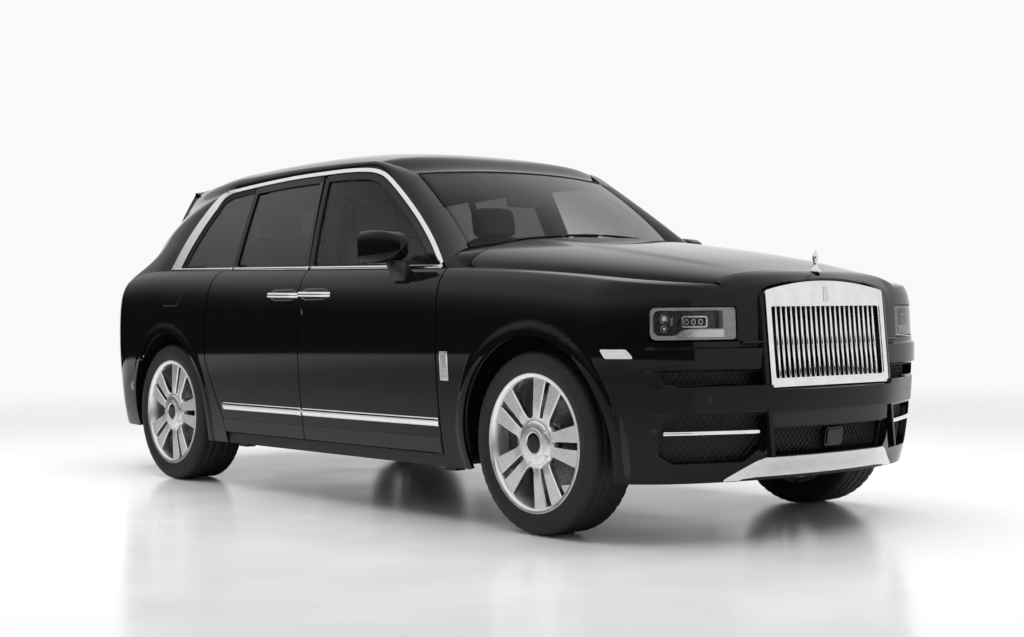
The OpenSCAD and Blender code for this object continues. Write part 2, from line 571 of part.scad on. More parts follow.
function closed_in(p, d) = let(n = len(p)) [for (i = [0 : n - 1])
  let(m = turn_in(p[(i + n - 1) % n], p[i]) + turn_in(p[i], p[(i + 1) % n])) p[i] + m * 2 / max(0.5, m * m) * d];
module window_frame(pts) {
  hole = closed_in(pts, frame_wide);
  slim = closed_in(pts, 12);
  hoop_solid([[for (q = pts) on_side(q, 0)], [for (q = hole) on_side(q, 3)],
    [for (q = hole) on_side(q, 45)], [for (q = slim) on_side(q, 45)]]);
}
module door_lower(x0, x1, bevel0, bevel1) {
  zs = concat([door_bottom], rows_z, [1190]);
  function xs(z, b0, b1) = steps(call0(x0, z) + b0, call0(x1, z) - b1, 7);
  function call0(k, z) = k == 0 ? door_front_x - hinge_gap / 2 : k == 1 ? b_x + shut_gap / 2 :
    k == 2 ? b_x - shut_gap / 2 : door_edge(min(z, 1215));
  outer = [for (z = zs) [for (x = xs(z, 0, 0)) [x, side_y(x, row_z(x, z)), row_z(x, z)]]];
  inner = [for (z = zs) [for (x = xs(z, bevel0, bevel1))
    [x, side_y(x, row_z(x, z)) - (z < 1130 ? door_thickness : z < 1170 ? 90 : 62), row_z(x, z)]]];
  grid_solid(outer, inner);
}
module front_door_left() color("#0b0b0d") union() {
  door_lower(1, 0, 22, 22);
  window_frame(front_outline());
}
module front_door_right() mirror([0, 1, 0]) front_door_left();
module rear_door_left() color("#0b0b0d") union() {
  door_lower(3, 2, 22, 22);
  window_frame(rear_outline());
}
module rear_door_right() mirror([0, 1, 0]) rear_door_left();

// Door glass: lies in the frame, 0.5 mm behind its outer lip
module pane(lower, upper) {
  function sheet(d) = [for (k = [0, 0.5, 1]) [for (i = [0 : len(lower) - 1])
    on_side(mix(lower[i], upper[i], k), d)]];
  grid_solid(sheet(10), sheet(15));
}
function pane_foot(h, ids, x) = lookup(x, [for (i = ids) h[i]]) + 0.8;
module front_glass_left() {
  h = closed_in(front_outline(), frame_wide + 0.5);
  fore = h[12] - [4, 0];
  color("#30363a", 0.5) pane([for (k = steps(0, 1, 6)) let(x = mix(h[9][0], fore[0], k))
    [x, pane_foot(h, [9, 10, 11, 12], x)]], [for (i = [7 : -1 : 1]) h[i]]);
}
module front_glass_right() mirror([0, 1, 0]) front_glass_left();
module rear_glass_left() {
  h = closed_in(rear_outline(), frame_wide + 0.5);
  color("#1a1c1f", 0.6) pane([for (k = steps(0, 1, 3)) let(x = mix(h[9][0], h[5][0], k))
    [x, pane_foot(h, [5, 6, 7, 8, 9], x)]], [for (i = [0 : 3]) h[i]]);
}
module rear_glass_right() mirror([0, 1, 0]) rear_glass_left();

// Door mirror on its foot
mirror_x = xf - 905;
module mirror_left() color("#0b0b0d") {
  y1 = hw + mirror_reach;
  // housing, deepest at its rear face
  hull() {
    for (p = [[-140, 974, 34], [-160, y1 - 32, 32], [-10, 982, 42], [-60, y1 - 40, 40]], z = [1192 + p[2], 1350 - p[2]])
      translate([mirror_x + p[0], p[1], z]) sphere(r = p[2], $fn = 16);
  }
  // neck down to the door below the window
  y0 = max(side_y(mirror_x - 83, 1104), side_y(mirror_x + 13, 1104)) - 0.3;
  box([mirror_x - 83, y0, 1104], [mirror_x + 13, 1001, 1192 + running]);
}
module mirror_right() mirror([0, 1, 0]) mirror_left();

function bonnet_spot(x1, w, d) =
  let(v = (x1 - line_x[0] - 6) / (bonnet_front - 2 - line_x[0] - 6), x = mix(bonnet_rear(w), bonnet_front - 2, unit01(v)))
  [x, w * (bonnet_half(x) - shut_gap / 2) * (1 - d / 900), bonnet_z(x, w) - d];
bonnet_ws = [-1, -0.985, -0.95, -0.88, -0.75, -0.5, -0.25, 0, 0.25, 0.5, 0.75, 0.88, 0.95, 0.985, 1];
bonnet_xs = concat([line_x[0] + 6], [for (i = [1 : len(line_x) - 2]) line_x[i]], [bonnet_front - 2]);
module bonnet() color("#0b0b0d")
  grid_solid([for (x = bonnet_xs) [for (w = bonnet_ws) bonnet_spot(x, w, 0)]],
    [for (x = bonnet_xs) [for (w = bonnet_ws) bonnet_spot(x, w, 30)]]);

module ornament() color("Silver") translate([ornament_x, 0, ornament_z + running]) {
  cylinder(r = 24, h = 8);
  rotate_extrude() polygon([[0, 7], [16, 7], [11, 20], [9, 36], [13, 58], [10, 76], [4, 90], [0, 92]]);
}

// Tailgate: upper part hinged on the roof, lower part folding down
rear_window = [[-560, -292], [560, -292], [586, -250], [500, 230], [440, 288], [-440, 288], [-500, 230],
  [-586, -250]];
module window_prism(shrink) {
  // slope of the tail and its length against the model's own
  slope = atan(468 * lift / 474);
  long = norm([474, 468 * lift]) / norm([474, 468]);
  translate([tail_x(up(1456), 0), 0, up(1456)]) rotate([0, -slope, 0]) translate([-160, 0, 0]) rotate([90, 0, 90])
    linear_extrude(height = 320) polygon([for (p = rear_window) [p[0], p[1] * long] * (1 - shrink / 300)]);
}
module tailgate_upper() {
  zs = concat([tailgate_split + shut_gap / 2, 1140, 1185], pillar_z);
  ws = steps(-1, 1, 10);
  tops = [roof_back - 225, roof_back - 120, roof_back - shut_gap];
  function top(x, w, d) = [x + (x < roof_back - 200 ? 50 * w * w + d * 1.2 : 0), (0.93 * roof_half(x) - shut_gap - 1) * w,
    roof_z(x, 0.93 * w) - 1 - d];
  function into(z) = z < 1100 ? [50, 0, 0] : z < 1200 ? [44, 0, -20] : [34, 0, -34];
  color("#0b0b0d") difference() {
    grid_solid(concat([for (z = zs) [for (w = ws) tailgate_edge(z, w)]],
        [for (x = tops) [for (w = ws) top(x, w, 0)]]),
      concat([for (z = zs) [for (w = ws) tailgate_edge(z, w * 0.975) + into(z)]],
        [for (x = tops) [for (w = ws) top(x, w * 0.99, 38)]]));
    window_prism(0);
  }
}
module tailgate_glass() {
  function sheet(d) = [for (z = [1200, up(1350), up(1460), up(1560), up(1700)]) [for (w = steps(-0.94, 0.94, 8))
    tailgate_edge(z, w) + [d * 0.71, 0, -d * 0.71]]];
  color("#1a1c1f", 0.6) intersection() {
    grid_solid(sheet(12), sheet(17));
    window_prism(0.42);
  }
}
module tailgate_lower() {
  zs = [rear_bumper_top + shut_gap + 1, 800, 900, 1000, tailgate_split - shut_gap / 2];
  edge = rear_angle(618);
  as = steps(-edge, edge, 10);
  // the upper edge falls away at the ends to swing clear of the upper part
  function tip(a, z) = min(z, tailgate_split - shut_gap / 2 - 12 * pow(a / edge, 4));
  function spot(a, z, d) = let(p = body_point(u_rear(abs(a)), tip(a, z), d)) [p[0], sign(a) * p[1], p[2]];
  color("#0b0b0d") grid_solid([for (z = zs) [for (a = as) spot(a, z, 0)]],
    [for (z = zs) [for (a = as) spot(a * 0.985, min(z, tailgate_split - 50), 42)]]);
}
module rear_bumper() {
  half = concat(steps(rc_x + 165, rc_x - 1, 2), [for (y = [950, 915, 860, 780, 660, 500, 280]) u_rear(rear_angle(y))]);
  zs = [290, 340, 450, 560, 640, rear_bumper_top];
  function strip(d) = [for (z = zs) concat([for (u = half) body_point(u, z, d)], [body_point(u_rear(0), z, d)],
    [for (i = [len(half) - 1 : -1 : 0]) let(p = body_point(half[i], z, d)) [p[0], -p[1], p[2]]])];
  color("#0b0b0d") difference() {
    union() {
      grid_solid(strip(0), strip(panel_thickness + 14));
      // rest pads under the lower tailgate
      both() box([-xn + 32, 250, rear_bumper_top - 8], [-xn + 48, 300, rear_bumper_top + shut_gap + 1 - running]);
    }
    arch_cut(xr);
    // exhaust outlets
    both() rotate([90, 0, 90]) translate([0, 0, -xn - 10]) linear_extrude(height = 300)
      polygon([[430, 345], [660, 345], [690, 380], [660, 425], [430, 425], [405, 380]]);
  }
}

// Engine, axles and knuckles
front_mid = tyre_face - front_tyre_width / 2;
rear_mid = tyre_face - rear_tyre_width / 2;
king_y = 700;
module engine_block() color("Gray") {
  box([xf - 400, -300, 560], [xf + 330, 300, 1000]);
  box([xf - 505 + seam, -180, 420], [xf - 300, 180, 700]);
}
module front_suspension() color("DimGray") {
  box([xf - 120, -399.5, 300], [xf + 120, 399.5, 380]);
  both() for (z = [265, 560]) difference() {
    union() {
      box([xf - 30, 380, z - 16], [xf + 30, king_y, z + 16]);
      translate([xf, king_y, z - 16]) cylinder(r = 40, h = 32);
    }
    translate([xf, king_y, z - 20]) cylinder(r = 14 + running, h = 40);
  }
  both() box([xf - 30, 380, 249], [xf + 30, 399.5, 576]);
}
module knuckle_left() color("DarkGray") {
  // king pin, upright and hub spindle
  translate([xf, king_y, 245]) cylinder(r = 14, h = 335);
  box([xf - 60, king_y - 45, 287], [xf + 60, king_y + 45, 538]);
  round_y(34, king_y + 40, front_mid + 20, [xf, tyre_r]);
}
module knuckle_right() mirror([0, 1, 0]) knuckle_left();
module rear_suspension() color("DimGray") {
  box([xr - 160, -430, 300], [xr + 160, 430, 400]);
  box([xr - 120, -140, 300], [xr + 120, 140, 500]);
  both() box([xr - 40, 420, 310], [xr + 40, rear_mid - 90, 380]);
  both() box([xr - 60, rear_mid - 160, 310], [xr + 60, rear_mid - 80, 520]);
  both() round_y(34, rear_mid - 90, rear_mid + 20, [xr, tyre_r]);
  both() box([xr - 60, 440, 370], [xr + 60, 520, 600 - seam]);
}

// Wheel with five pairs of spokes, axis along Y, outer face towards +Y
module wheel(width) {
  h = width / 2;
  rotate([-90, 0, 0]) {
    rotate_extrude($fn = 96) polygon([[rim_r - 26, -h + 22], [rim_r, -h + 14], [rim_r, -h + 26], [rim_r - 14, -h + 40],
      [rim_r - 14, h - 40], [rim_r, h - 26], [rim_r, h - 12], [rim_r - 16, h - 12], [rim_r - 24, h - 40],
      [rim_r - 24, -h + 40]]);
    difference() {
      union() {
        translate([0, 0, h - 90]) cylinder(r = 108, h = 66);
        translate([0, 0, h - 26]) cylinder(r = 74, h = 14);
        translate([0, 0, -6]) cylinder(r = 78, h = h - 80);
        translate([0, 0, h - 56]) linear_extrude(height = 34) intersection() {
          circle(r = rim_r - 18, $fn = 96);
          for (i = [0 : 4]) rotate(72 * i) for (s = [1, -1])
            polygon([[0, 7 * s], [rim_r, 15.5 * s], [rim_r, 84 * s], [60, 34 * s]]);
        }
      }
      translate([0, 0, -10]) cylinder(r = 34 + running, h = h - 20);
    }
  }
}
module tyre(width) {
  h = width / 2;
  r = tyre_r;
  bead = [[rim_r - 13.5, h - 41], [rim_r + 0.5, h - 26.8], [rim_r + 10, h - 10], [rim_r + 40, h]];
  tread = [for (a = [0 : 15 : 90]) [r - 34 + 34 * sin(a), h - 38 + 34 * cos(a)]];
  half = concat(bead, tread);
  n = len(half) - 1;
  rotate([-90, 0, 0]) rotate_extrude($fn = 96)
    polygon(concat([for (p = half) [p[0], -p[1]]], [for (i = [n : -1 : 0]) half[i]]));
}
module wheel_front_left() color("Silver") translate([xf, front_mid, tyre_r]) wheel(front_tyre_width);
module wheel_front_right() mirror([0, 1, 0]) wheel_front_left();
module wheel_rear_left() color("Silver") translate([xr, rear_mid, tyre_r]) wheel(rear_tyre_width);
module wheel_rear_right() mirror([0, 1, 0]) wheel_rear_left();
module tyre_front_left() color("#18181a") translate([xf, front_mid, tyre_r]) tyre(front_tyre_width);
module tyre_front_right() mirror([0, 1, 0]) tyre_front_left();
module tyre_rear_left() color("#18181a") translate([xr, rear_mid, tyre_r]) tyre(rear_tyre_width);
module tyre_rear_right() mirror([0, 1, 0]) tyre_rear_left();

// Cabin
cushion_z = floor_height + cushion_height;
module dashboard() color("#2a2622") difference() {
  union() {
  rotate([90, 0, 0]) translate([0, 0, -690]) linear_extrude(height = 1380)
    polygon([[xf - 536, 760], [xf - 536, 1075], [xf - 640, 1088], [xf - 800, 1080], [xf - 850, 1040], [xf - 830, 930],
      [xf - 760, 760]]);
  // padded upper part behind the windscreen foot
  rotate([90, 0, 0]) translate([0, 0, -560]) linear_extrude(height = 1120)
    polygon([[xf - 775, 1030], [xf - 775, 1230], [xf - 860, 1240], [xf - 950, 1222], [xf - 985, 1180], [xf - 965, 1060],
      [xf - 830, 960]]);
  }
  // bore for the steering column
  steering_place() translate([0, 0, -330]) cylinder(r = 22 + running, h = 310);
}
module centre_console() color("#2a2622") {
  box([xf - 1500, -110, floor_height + seam], [xf - 720, 110, 640]);
  box([xf - 825, -110, 640], [xf - 760, 110, 759.5]);
}
module seat_profile(back_tilt, back_len) {
  polygon([[0, 0], [520, 20], [540, 60], [520, 120], [130, 105], [130 - back_len * sin(back_tilt), 105 + back_len * cos(back_tilt)],
    [30 - back_len * sin(back_tilt), 105 + back_len * cos(back_tilt)], [-40, 90]]);
}
module front_seats() color("#3a3029") both() translate([xf - 1830, 0, 0]) {
  box([60, 200, floor_height + seam], [440, 640, cushion_z - 117.9]);
  translate([0, 420 + seat_width / 2, cushion_z - 120]) rotate([90, 0, 0]) linear_extrude(height = seat_width)
    seat_profile(18, 560);
  translate([-168, 420 - 140, cushion_z + 555]) rotate([0, -10, 0]) cube([80, 280, 170]);
  for (y = [360, 480]) translate([-136, y, cushion_z + 500]) cylinder(r = 7, h = 75);
}
module rear_seat() color("#3a3029") translate([xr + 570, 0, 0]) {
  box([60, -640, floor_height + seam], [440, 640, cushion_z - 87.9]);
  translate([0, 700, cushion_z - 90]) rotate([90, 0, 0]) linear_extrude(height = 1400) seat_profile(22, 600);
  for (y = [-420, 420]) {
    translate([-226, y - 140, cushion_z + 600]) rotate([0, -10, 0]) cube([80, 280, 160]);
    for (s = [-60, 60]) translate([-186, y + s, cushion_z + 540]) cylinder(r = 7, h = 75);
  }
}
wheel_rake = 24;
module steering_place() {
  translate([xf - 1215, 400, 1195]) rotate([0, -90 + wheel_rake, 0]) children();
}
module steering_wheel() color("#1a1a1c") steering_place() {
  rotate_extrude($fn = 48) translate([175, 0, 0]) circle(r = 15, $fn = 16);
  cylinder(r = 60, h = 40, center = true);
  for (a = [0, 120, 240]) rotate([0, 0, a]) translate([40, -14, -6]) cube([130, 28, 12]);
  translate([0, 0, -275]) cylinder(r = 22, h = 270);
}

floor_pan();
front_structure();
front_fenders();
front_bumper();
nose_panel();
grille();
headlamps();
intake_meshes();
windscreen();
cowl();
roof_rails();
roof_panel();
quarter_panels();
rear_pillars();
quarter_glass();
tail_lamps();
rear_bumper();
window_trim();
engine_block();
front_suspension();
rear_suspension();
dashboard();
centre_console();
front_seats();
rear_seat();
steering_wheel();
front_door_left();
front_door_right();
rear_door_left();
rear_door_right();
front_glass_left();
front_glass_right();
rear_glass_left();
rear_glass_right();
mirror_left();
mirror_right();
bonnet();
ornament();
tailgate_upper();
tailgate_glass();
tailgate_lower();
knuckle_left();
knuckle_right();
wheel_front_left();
wheel_front_right();
wheel_rear_left();
wheel_rear_right();
tyre_front_left();
tyre_front_right();
tyre_rear_left();
tyre_rear_right();
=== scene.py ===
# Luxury sport utility vehicle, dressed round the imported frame.
# Lengths are written in millimetres in the part's frame: X forward, Y left, Z up.
import math

import bmesh
import bpy
import numpy as np
from mathutils import Matrix, Vector


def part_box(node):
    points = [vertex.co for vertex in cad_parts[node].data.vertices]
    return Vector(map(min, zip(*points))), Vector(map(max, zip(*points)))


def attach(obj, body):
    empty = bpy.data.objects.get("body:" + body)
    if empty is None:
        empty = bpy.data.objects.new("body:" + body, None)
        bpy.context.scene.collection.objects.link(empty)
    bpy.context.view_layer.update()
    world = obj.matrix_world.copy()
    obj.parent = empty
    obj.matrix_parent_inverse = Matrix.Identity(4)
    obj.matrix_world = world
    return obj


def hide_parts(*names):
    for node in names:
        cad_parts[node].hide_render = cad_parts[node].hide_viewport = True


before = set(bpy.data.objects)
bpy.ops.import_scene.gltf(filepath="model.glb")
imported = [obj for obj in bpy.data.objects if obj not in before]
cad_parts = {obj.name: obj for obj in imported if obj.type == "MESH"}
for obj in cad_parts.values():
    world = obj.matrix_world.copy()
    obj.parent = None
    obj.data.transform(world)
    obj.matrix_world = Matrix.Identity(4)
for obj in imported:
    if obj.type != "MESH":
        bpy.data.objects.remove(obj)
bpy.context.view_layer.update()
MM = 0.001

# sizes shared with the solids
XN, XF, XR = 2670.5, 1790.5, -1504.5
HW, TYRE_R, ARCH_R = 1000.0, 394.0, 463.0
DOOR_F, B_X = XF - 635, XF - 1812
FC_X, FC_D, RC_D = XF + 310, 535.0, 671.0
RC_X = RC_D - XN
SILL, DOOR_LOW, WAIST = 250.0, 312.0, 1183.0
SHUT, HINGE = 5.0, 9.0
BUMPER_TOP, LAMP_TOP = 826.0, 968.0
LAMP_BACK = XN - 270
GRILLE_HALF, GRILLE_LOW, GRILLE_CORNER = 380.0, 634.0, 1034.0
SPLIT, TAIL_TOP = 1088.0, 690.0
RAIL_HALF, ROOF_BACK = 746.0, 911 - XN
BONNET_FRONT = XF + 704
SECTION = [(240, 62), (330, 40), (450, 22), (620, 7), (800, 0), (960, 3), (1060, 12), (1120, 27), (1160, 47),
           (1190, 74)]
# rows of that section: its top, the one below which rows stay level, and the fold that closes a panel over its top
TOP_ROW, LEVEL_ROW, FOLD = 1190.0, 620.0, 60.0
GLASS_RISE, ROOF_EDGE, ROOF_TAPER = 510.0, 0.93, 0.19


def keyed(keys, x):
    """Smooth curve through keyed points, as in the solids."""
    kx = np.array([k[0] for k in keys], float)
    kv = np.array([k[1] for k in keys], float)
    n = len(kx)
    lo, hi = np.maximum(np.arange(n) - 1, 0), np.minimum(np.arange(n) + 1, n - 1)
    slope = (kv[hi] - kv[lo]) / (kx[hi] - kx[lo])
    x = np.asarray(x, float)
    i = np.clip(np.searchsorted(kx, x, side="right") - 1, 0, n - 2)
    h = kx[i + 1] - kx[i]
    t = np.clip((x - kx[i]) / h, 0, 1)
    u = 1 - t
    return (kv[i] * u * u * (1 + 2 * t) + kv[i + 1] * t * t * (3 - 2 * t)
            + slope[i] * h * t * u * u - slope[i + 1] * h * t * t * u)


def ease(t):
    c = np.clip(t, 0, 1)
    return c * c * (3 - 2 * c)


def mix(a, b, t):
    return a + (b - a) * t


def xyz(x, y, z):
    return np.stack(np.broadcast_arrays(np.asarray(x, float), np.asarray(y, float), np.asarray(z, float)), -1)


# body surfaces
def shoulder_z(x):
    d, r = np.maximum(0, x - DOOR_F), np.maximum(0, XR - 150 - x)
    return WAIST - 0.0213 * np.minimum(x, DOOR_F) - 0.0435 * d - 0.000027 * d * d - 0.00014 * r * r


def side_inset(x, z):
    n = np.where(z < LEVEL_ROW, z, LEVEL_ROW + (z - LEVEL_ROW) * (TOP_ROW - LEVEL_ROW) / (shoulder_z(x) - LEVEL_ROW))
    return keyed(SECTION, n) * np.where(n > 800, 1 - 0.6 * ease((x - FC_X) / 420), 1)


def plan_half(x):
    f, r = np.maximum(0, x - XF + 1490), np.maximum(0, XR + 1205 - x)
    return HW - 24 * (f / 1490) ** 2 - 10 * (r / 1205) ** 4


FC_H, RC_H = float(plan_half(FC_X)), float(plan_half(RC_X))
NOSE_BULGE = XN - FC_X - FC_D + float(keyed(SECTION, 552))


def u_front(angle):
    return FC_X + 1000 * (1 - np.asarray(angle, float) / 90)


def u_rear(angle):
    return RC_X - 1000 * (1 - np.asarray(angle, float) / 90)


def rear_angle(y):
    return np.degrees(np.arcsin((np.asarray(y, float) / RC_H) ** 1.5))


def plan(u):
    """Point and normal of the plan curve at u."""
    u = np.asarray(u, float)
    fr, re = u > FC_X, u < RC_X
    tf = np.radians(np.clip(90 * (1 - (u - FC_X) / 1000), 0, 90))
    tr = np.radians(np.clip(90 * (1 - (RC_X - u) / 1000), 0, 90))
    cf, sf = np.clip(np.cos(tf), 0, 1), np.sin(tf)
    cr, sr = np.clip(np.cos(tr), 0, 1), np.clip(np.sin(tr), 0, 1)
    x = np.where(fr, FC_X + FC_D * cf ** 0.77, np.where(re, RC_X - RC_D * cr, u))
    y = np.where(fr, FC_H * sf, np.where(re, RC_H * sr ** (2 / 3), plan_half(u)))
    nx = np.where(fr, cf ** 1.23 / FC_D * 1.3, np.where(re, -2 * cr / RC_D, 0.0))
    ny = np.where(fr, sf / FC_H, np.where(re, 3 * sr ** (4 / 3) / RC_H, 1.0))
    ln = np.maximum(1e-6, np.hypot(nx, ny))
    return x, y, nx / ln, ny / ln


def body(u, z, depth=0.0):
    x, y, nx, ny = plan(u)
    d = side_inset(x, z) + depth
    swell = np.where(x < FC_X, 0, NOSE_BULGE * ease((640 - z) / 60) * ease((z - 250) / 150) * ease((700 - y) / 420))
    return xyz(x - nx * d + swell, y - ny * d, z)


def row_z(x, n):
    rise = (shoulder_z(x) - LEVEL_ROW) / (TOP_ROW - LEVEL_ROW)
    return np.where(n < LEVEL_ROW, n, LEVEL_ROW + (n - LEVEL_ROW) * rise)


def body_row(u, n, depth=0.0):
    return body(u, row_z(plan(u)[0], n), depth)


def flare(x, z):
    """Raised lip round the wheel arches."""
    out = 0.0
    for cx in (XF, XR):
        r = np.hypot(x - cx, z - TYRE_R)
        out = out + 7.0 * ease((ARCH_R + 52 - r) / 16)
    return out


def side_row(u, n, depth=0.0):
    x = plan(u)[0]
    z = row_z(x, n)
    return body(u, z, depth - flare(x, z))


def glass_y(x, z):
    t = (z - TOP_ROW) / GLASS_RISE
    lean = 180 * np.maximum(0, t) * (np.maximum(0, x + 100) / 1240) ** 2
    return HW - 74 - 20 * ((x + 100) / 1240) ** 2 - 150 * t - 28 * t * np.abs(t) - lean


def on_side(x, z, depth=0.0):
    return xyz(x, glass_y(x, z) - depth, z)


DLO = np.array([[XF - 645, 1164], [XF - 846, 1316], [XF - 1062, 1467], [XF - 1330, 1636], [XF - 1396, 1668],
                [XF - 1480, 1690], [XF - 1640, 1703], [XF - 1930, 1706], [XR + 1075, 1704], [XR + 745, 1692],
                [XR + 425, 1674], [XR + 330, 1664], [XR + 245, 1636], [XR + 25, 1425], [XR - 102, 1224]], float)
ROOF_KEYS = [(ROOF_BACK - 200, 1728), (ROOF_BACK, 1757), (XR + 105, 1796), (XR + 605, 1826), (XR + 1105, 1835),
             (XF - 1790, 1820), (XF - 1490, 1784), (XF - 1340, 1742), (XF - 1180, 1676)]


def roof_z(x, w):
    return 1690 + (keyed(ROOF_KEYS, x) - 1690) * np.maximum(0, 1 - np.abs(w) ** 2.4) ** 0.5


def roof_half(x):
    x0 = XR + 425
    return RAIL_HALF * (1 - ROOF_TAPER * ease((x0 - x) / (x0 - ROOF_BACK)))


def b_line(z):
    return B_X - 0.19 * np.maximum(0, z - TOP_ROW)


def b_gap(z):
    return SHUT / 2 + 7.5 * np.clip((z - TOP_ROW) / GLASS_RISE, 0, 1)


def bonnet_half(x):
    return 800 - 240 * (np.maximum(0, x - XF + 540) / 1260) ** 3.4


BONNET_KEYS = [(XF - 640, 1322), (XF - 180, 1268), (XF + 280, 1200), (XF + 720, 1118), (XF + 820, 1092)]


def bonnet_z(x, w):
    e = shoulder_z(x)
    return e + (keyed(BONNET_KEYS, x) - e) * np.maximum(0, 1 - np.abs(w) ** 2.6) ** 0.4545


def screen_foot(w):
    return xyz(XF - 640 - 120 * w * w, 700 * w, 1325 - 63 * w * w)


def screen_head(w):
    return xyz(XF - 1180 - 90 * w * w, 622 * w, 1676 - 24 * np.abs(w) ** 2.2)


def screen_point(w, v):
    v = np.asarray(v, float)[..., None]
    return mix(screen_foot(w), screen_head(w), v) + np.array([0.6, 0, 0.8]) * 18 * np.sin(np.pi * v)


TAIL_KEYS = [(1040, 40.5), (1090, 64.5), (1140, 108.5), (1185, 180.5), (1222, 246.5), (1690, 720.5), (1700, 735.5)]
TAIL_WIDE = [(1040, 606), (1140, 618), (1220, 652), (1320, 660), (1500, 610),
             (1700, ROOF_EDGE * RAIL_HALF * (1 - ROOF_TAPER) - SHUT)]


def tail_edge(z, w):
    return xyz(keyed(TAIL_KEYS, z) - XN + 95 * np.abs(w) ** 2.3, keyed(TAIL_WIDE, z) * w, z)


EDGE_KEYS = [(312, 659), (387, 648), (633, 534), (716, 500), (851, 495), (1013, 520), (1135, 544), (1215, 606)]


def door_edge(z):
    return XR + keyed(EDGE_KEYS, z)


C_SEAM = XR + 676


# outlines
def spline(pts, n):
    """Rounded curve through points, n samples evenly along it."""
    p = np.asarray(pts, float)
    ext = np.vstack([2 * p[0] - p[1], p, 2 * p[-1] - p[-2]])
    out = []
    for i in range(1, len(ext) - 2):
        a, b, c, d = ext[i - 1:i + 3]
        t = np.linspace(0, 1, 24, endpoint=i == len(ext) - 3)[:, None]
        la, lb, lc = (max(1e-6, np.linalg.norm(q)) ** 0.5 for q in (b - a, c - b, d - c))
        m1 = lb * ((b - a) / la - (c - a) / (la + lb) + (c - b) / lb)
        m2 = lb * ((c - b) / lb - (d - b) / (lb + lc) + (d - c) / lc)
        out.append((2 * t ** 3 - 3 * t ** 2 + 1) * b + (t ** 3 - 2 * t ** 2 + t) * m1
                   + (-2 * t ** 3 + 3 * t ** 2) * c + (t ** 3 - t ** 2) * m2)
    return resample(np.vstack(out), n)


def resample(p, n):
    s = np.concatenate([[0], np.cumsum(np.linalg.norm(np.diff(p, axis=0), axis=1))])
    t = np.linspace(0, s[-1], n)
    return np.stack([np.interp(t, s, p[:, k]) for k in range(p.shape[1])], -1)


def densify(p, step, closed=True):
    q = np.vstack([p, p[:1]]) if closed else p
    out = []
    for a, b in zip(q[:-1], q[1:]):
        k = max(1, int(np.ceil(np.linalg.norm(b - a) / step)))
        out += [a + (b - a) * j / k for j in range(k)]
    return np.array(out if closed else out + [q[-1]])


def inset(p, d, closed=True):
    """Outline moved to its right by d (inward for the window outlines)."""
    p = np.asarray(p, float)
    if closed:
        before, after = np.roll(p, 1, 0), np.roll(p, -1, 0)
    else:
        before, after = np.vstack([2 * p[0] - p[1], p[:-1]]), np.vstack([p[1:], 2 * p[-1] - p[-2]])

    def side(a, b):
        e = b - a
        e = e / np.maximum(1e-6, np.linalg.norm(e, axis=1))[:, None]
        return np.stack([-e[:, 1], e[:, 0]], 1)

    m = side(before, p) + side(p, after)
    return p + m * 2 / np.maximum(0.5, (m * m).sum(1))[:, None] * d


def poly_sd(x, y, poly):
    """Distance to an outline, positive inside."""
    x, y = np.asarray(x, float), np.asarray(y, float)
    best, inside = np.full(x.shape, 1e9), np.zeros(x.shape, bool)
    n = len(poly)
    for i in range(n):
        (ax, ay), (bx, by) = poly[i], poly[(i + 1) % n]
        ex, ey = bx - ax, by - ay
        t = np.clip(((x - ax) * ex + (y - ay) * ey) / max(1e-9, ex * ex + ey * ey), 0, 1)
        best = np.minimum(best, np.hypot(x - ax - t * ex, y - ay - t * ey))
        if abs(ey) > 1e-12:
            cross = ((ay > y) != (by > y)) & (x < ex * (y - ay) / ey + ax)
            inside ^= cross
    return np.where(inside, best, -best)


# materials
def principled(name):
    m = bpy.data.materials.new(name)
    m.use_nodes = True
    nt = m.node_tree
    return m, nt, nt.nodes["Principled BSDF"]


def noise(nt, scale, detail=3.0, rough=0.5):
    tc = nt.nodes.new("ShaderNodeTexCoord")
    n = nt.nodes.new("ShaderNodeTexNoise")
    n.inputs["Scale"].default_value = scale
    n.inputs["Detail"].default_value = detail
    n.inputs["Roughness"].default_value = rough
    nt.links.new(tc.outputs["Object"], n.inputs["Vector"])
    return n


def ramp(nt, source, low, high, a=0.3, b=0.7):
    r = nt.nodes.new("ShaderNodeValToRGB")
    r.color_ramp.elements[0].position, r.color_ramp.elements[1].position = a, b
    r.color_ramp.elements[0].color, r.color_ramp.elements[1].color = (*low, 1), (*high, 1)
    nt.links.new(source, r.inputs["Fac"])
    return r.outputs["Color"]


def spread(nt, source, low, high):
    r = nt.nodes.new("ShaderNodeMapRange")
    r.inputs["From Min"].default_value, r.inputs["From Max"].default_value = 0.3, 0.7
    r.inputs["To Min"].default_value, r.inputs["To Max"].default_value = low, high
    nt.links.new(source, r.inputs["Value"])
    return r.outputs["Result"]


def bumped(nt, bsdf, source, strength, distance):
    b = nt.nodes.new("ShaderNodeBump")
    b.inputs["Strength"].default_value, b.inputs["Distance"].default_value = strength, distance
    nt.links.new(source, b.inputs["Height"])
    nt.links.new(b.outputs["Normal"], bsdf.inputs["Normal"])


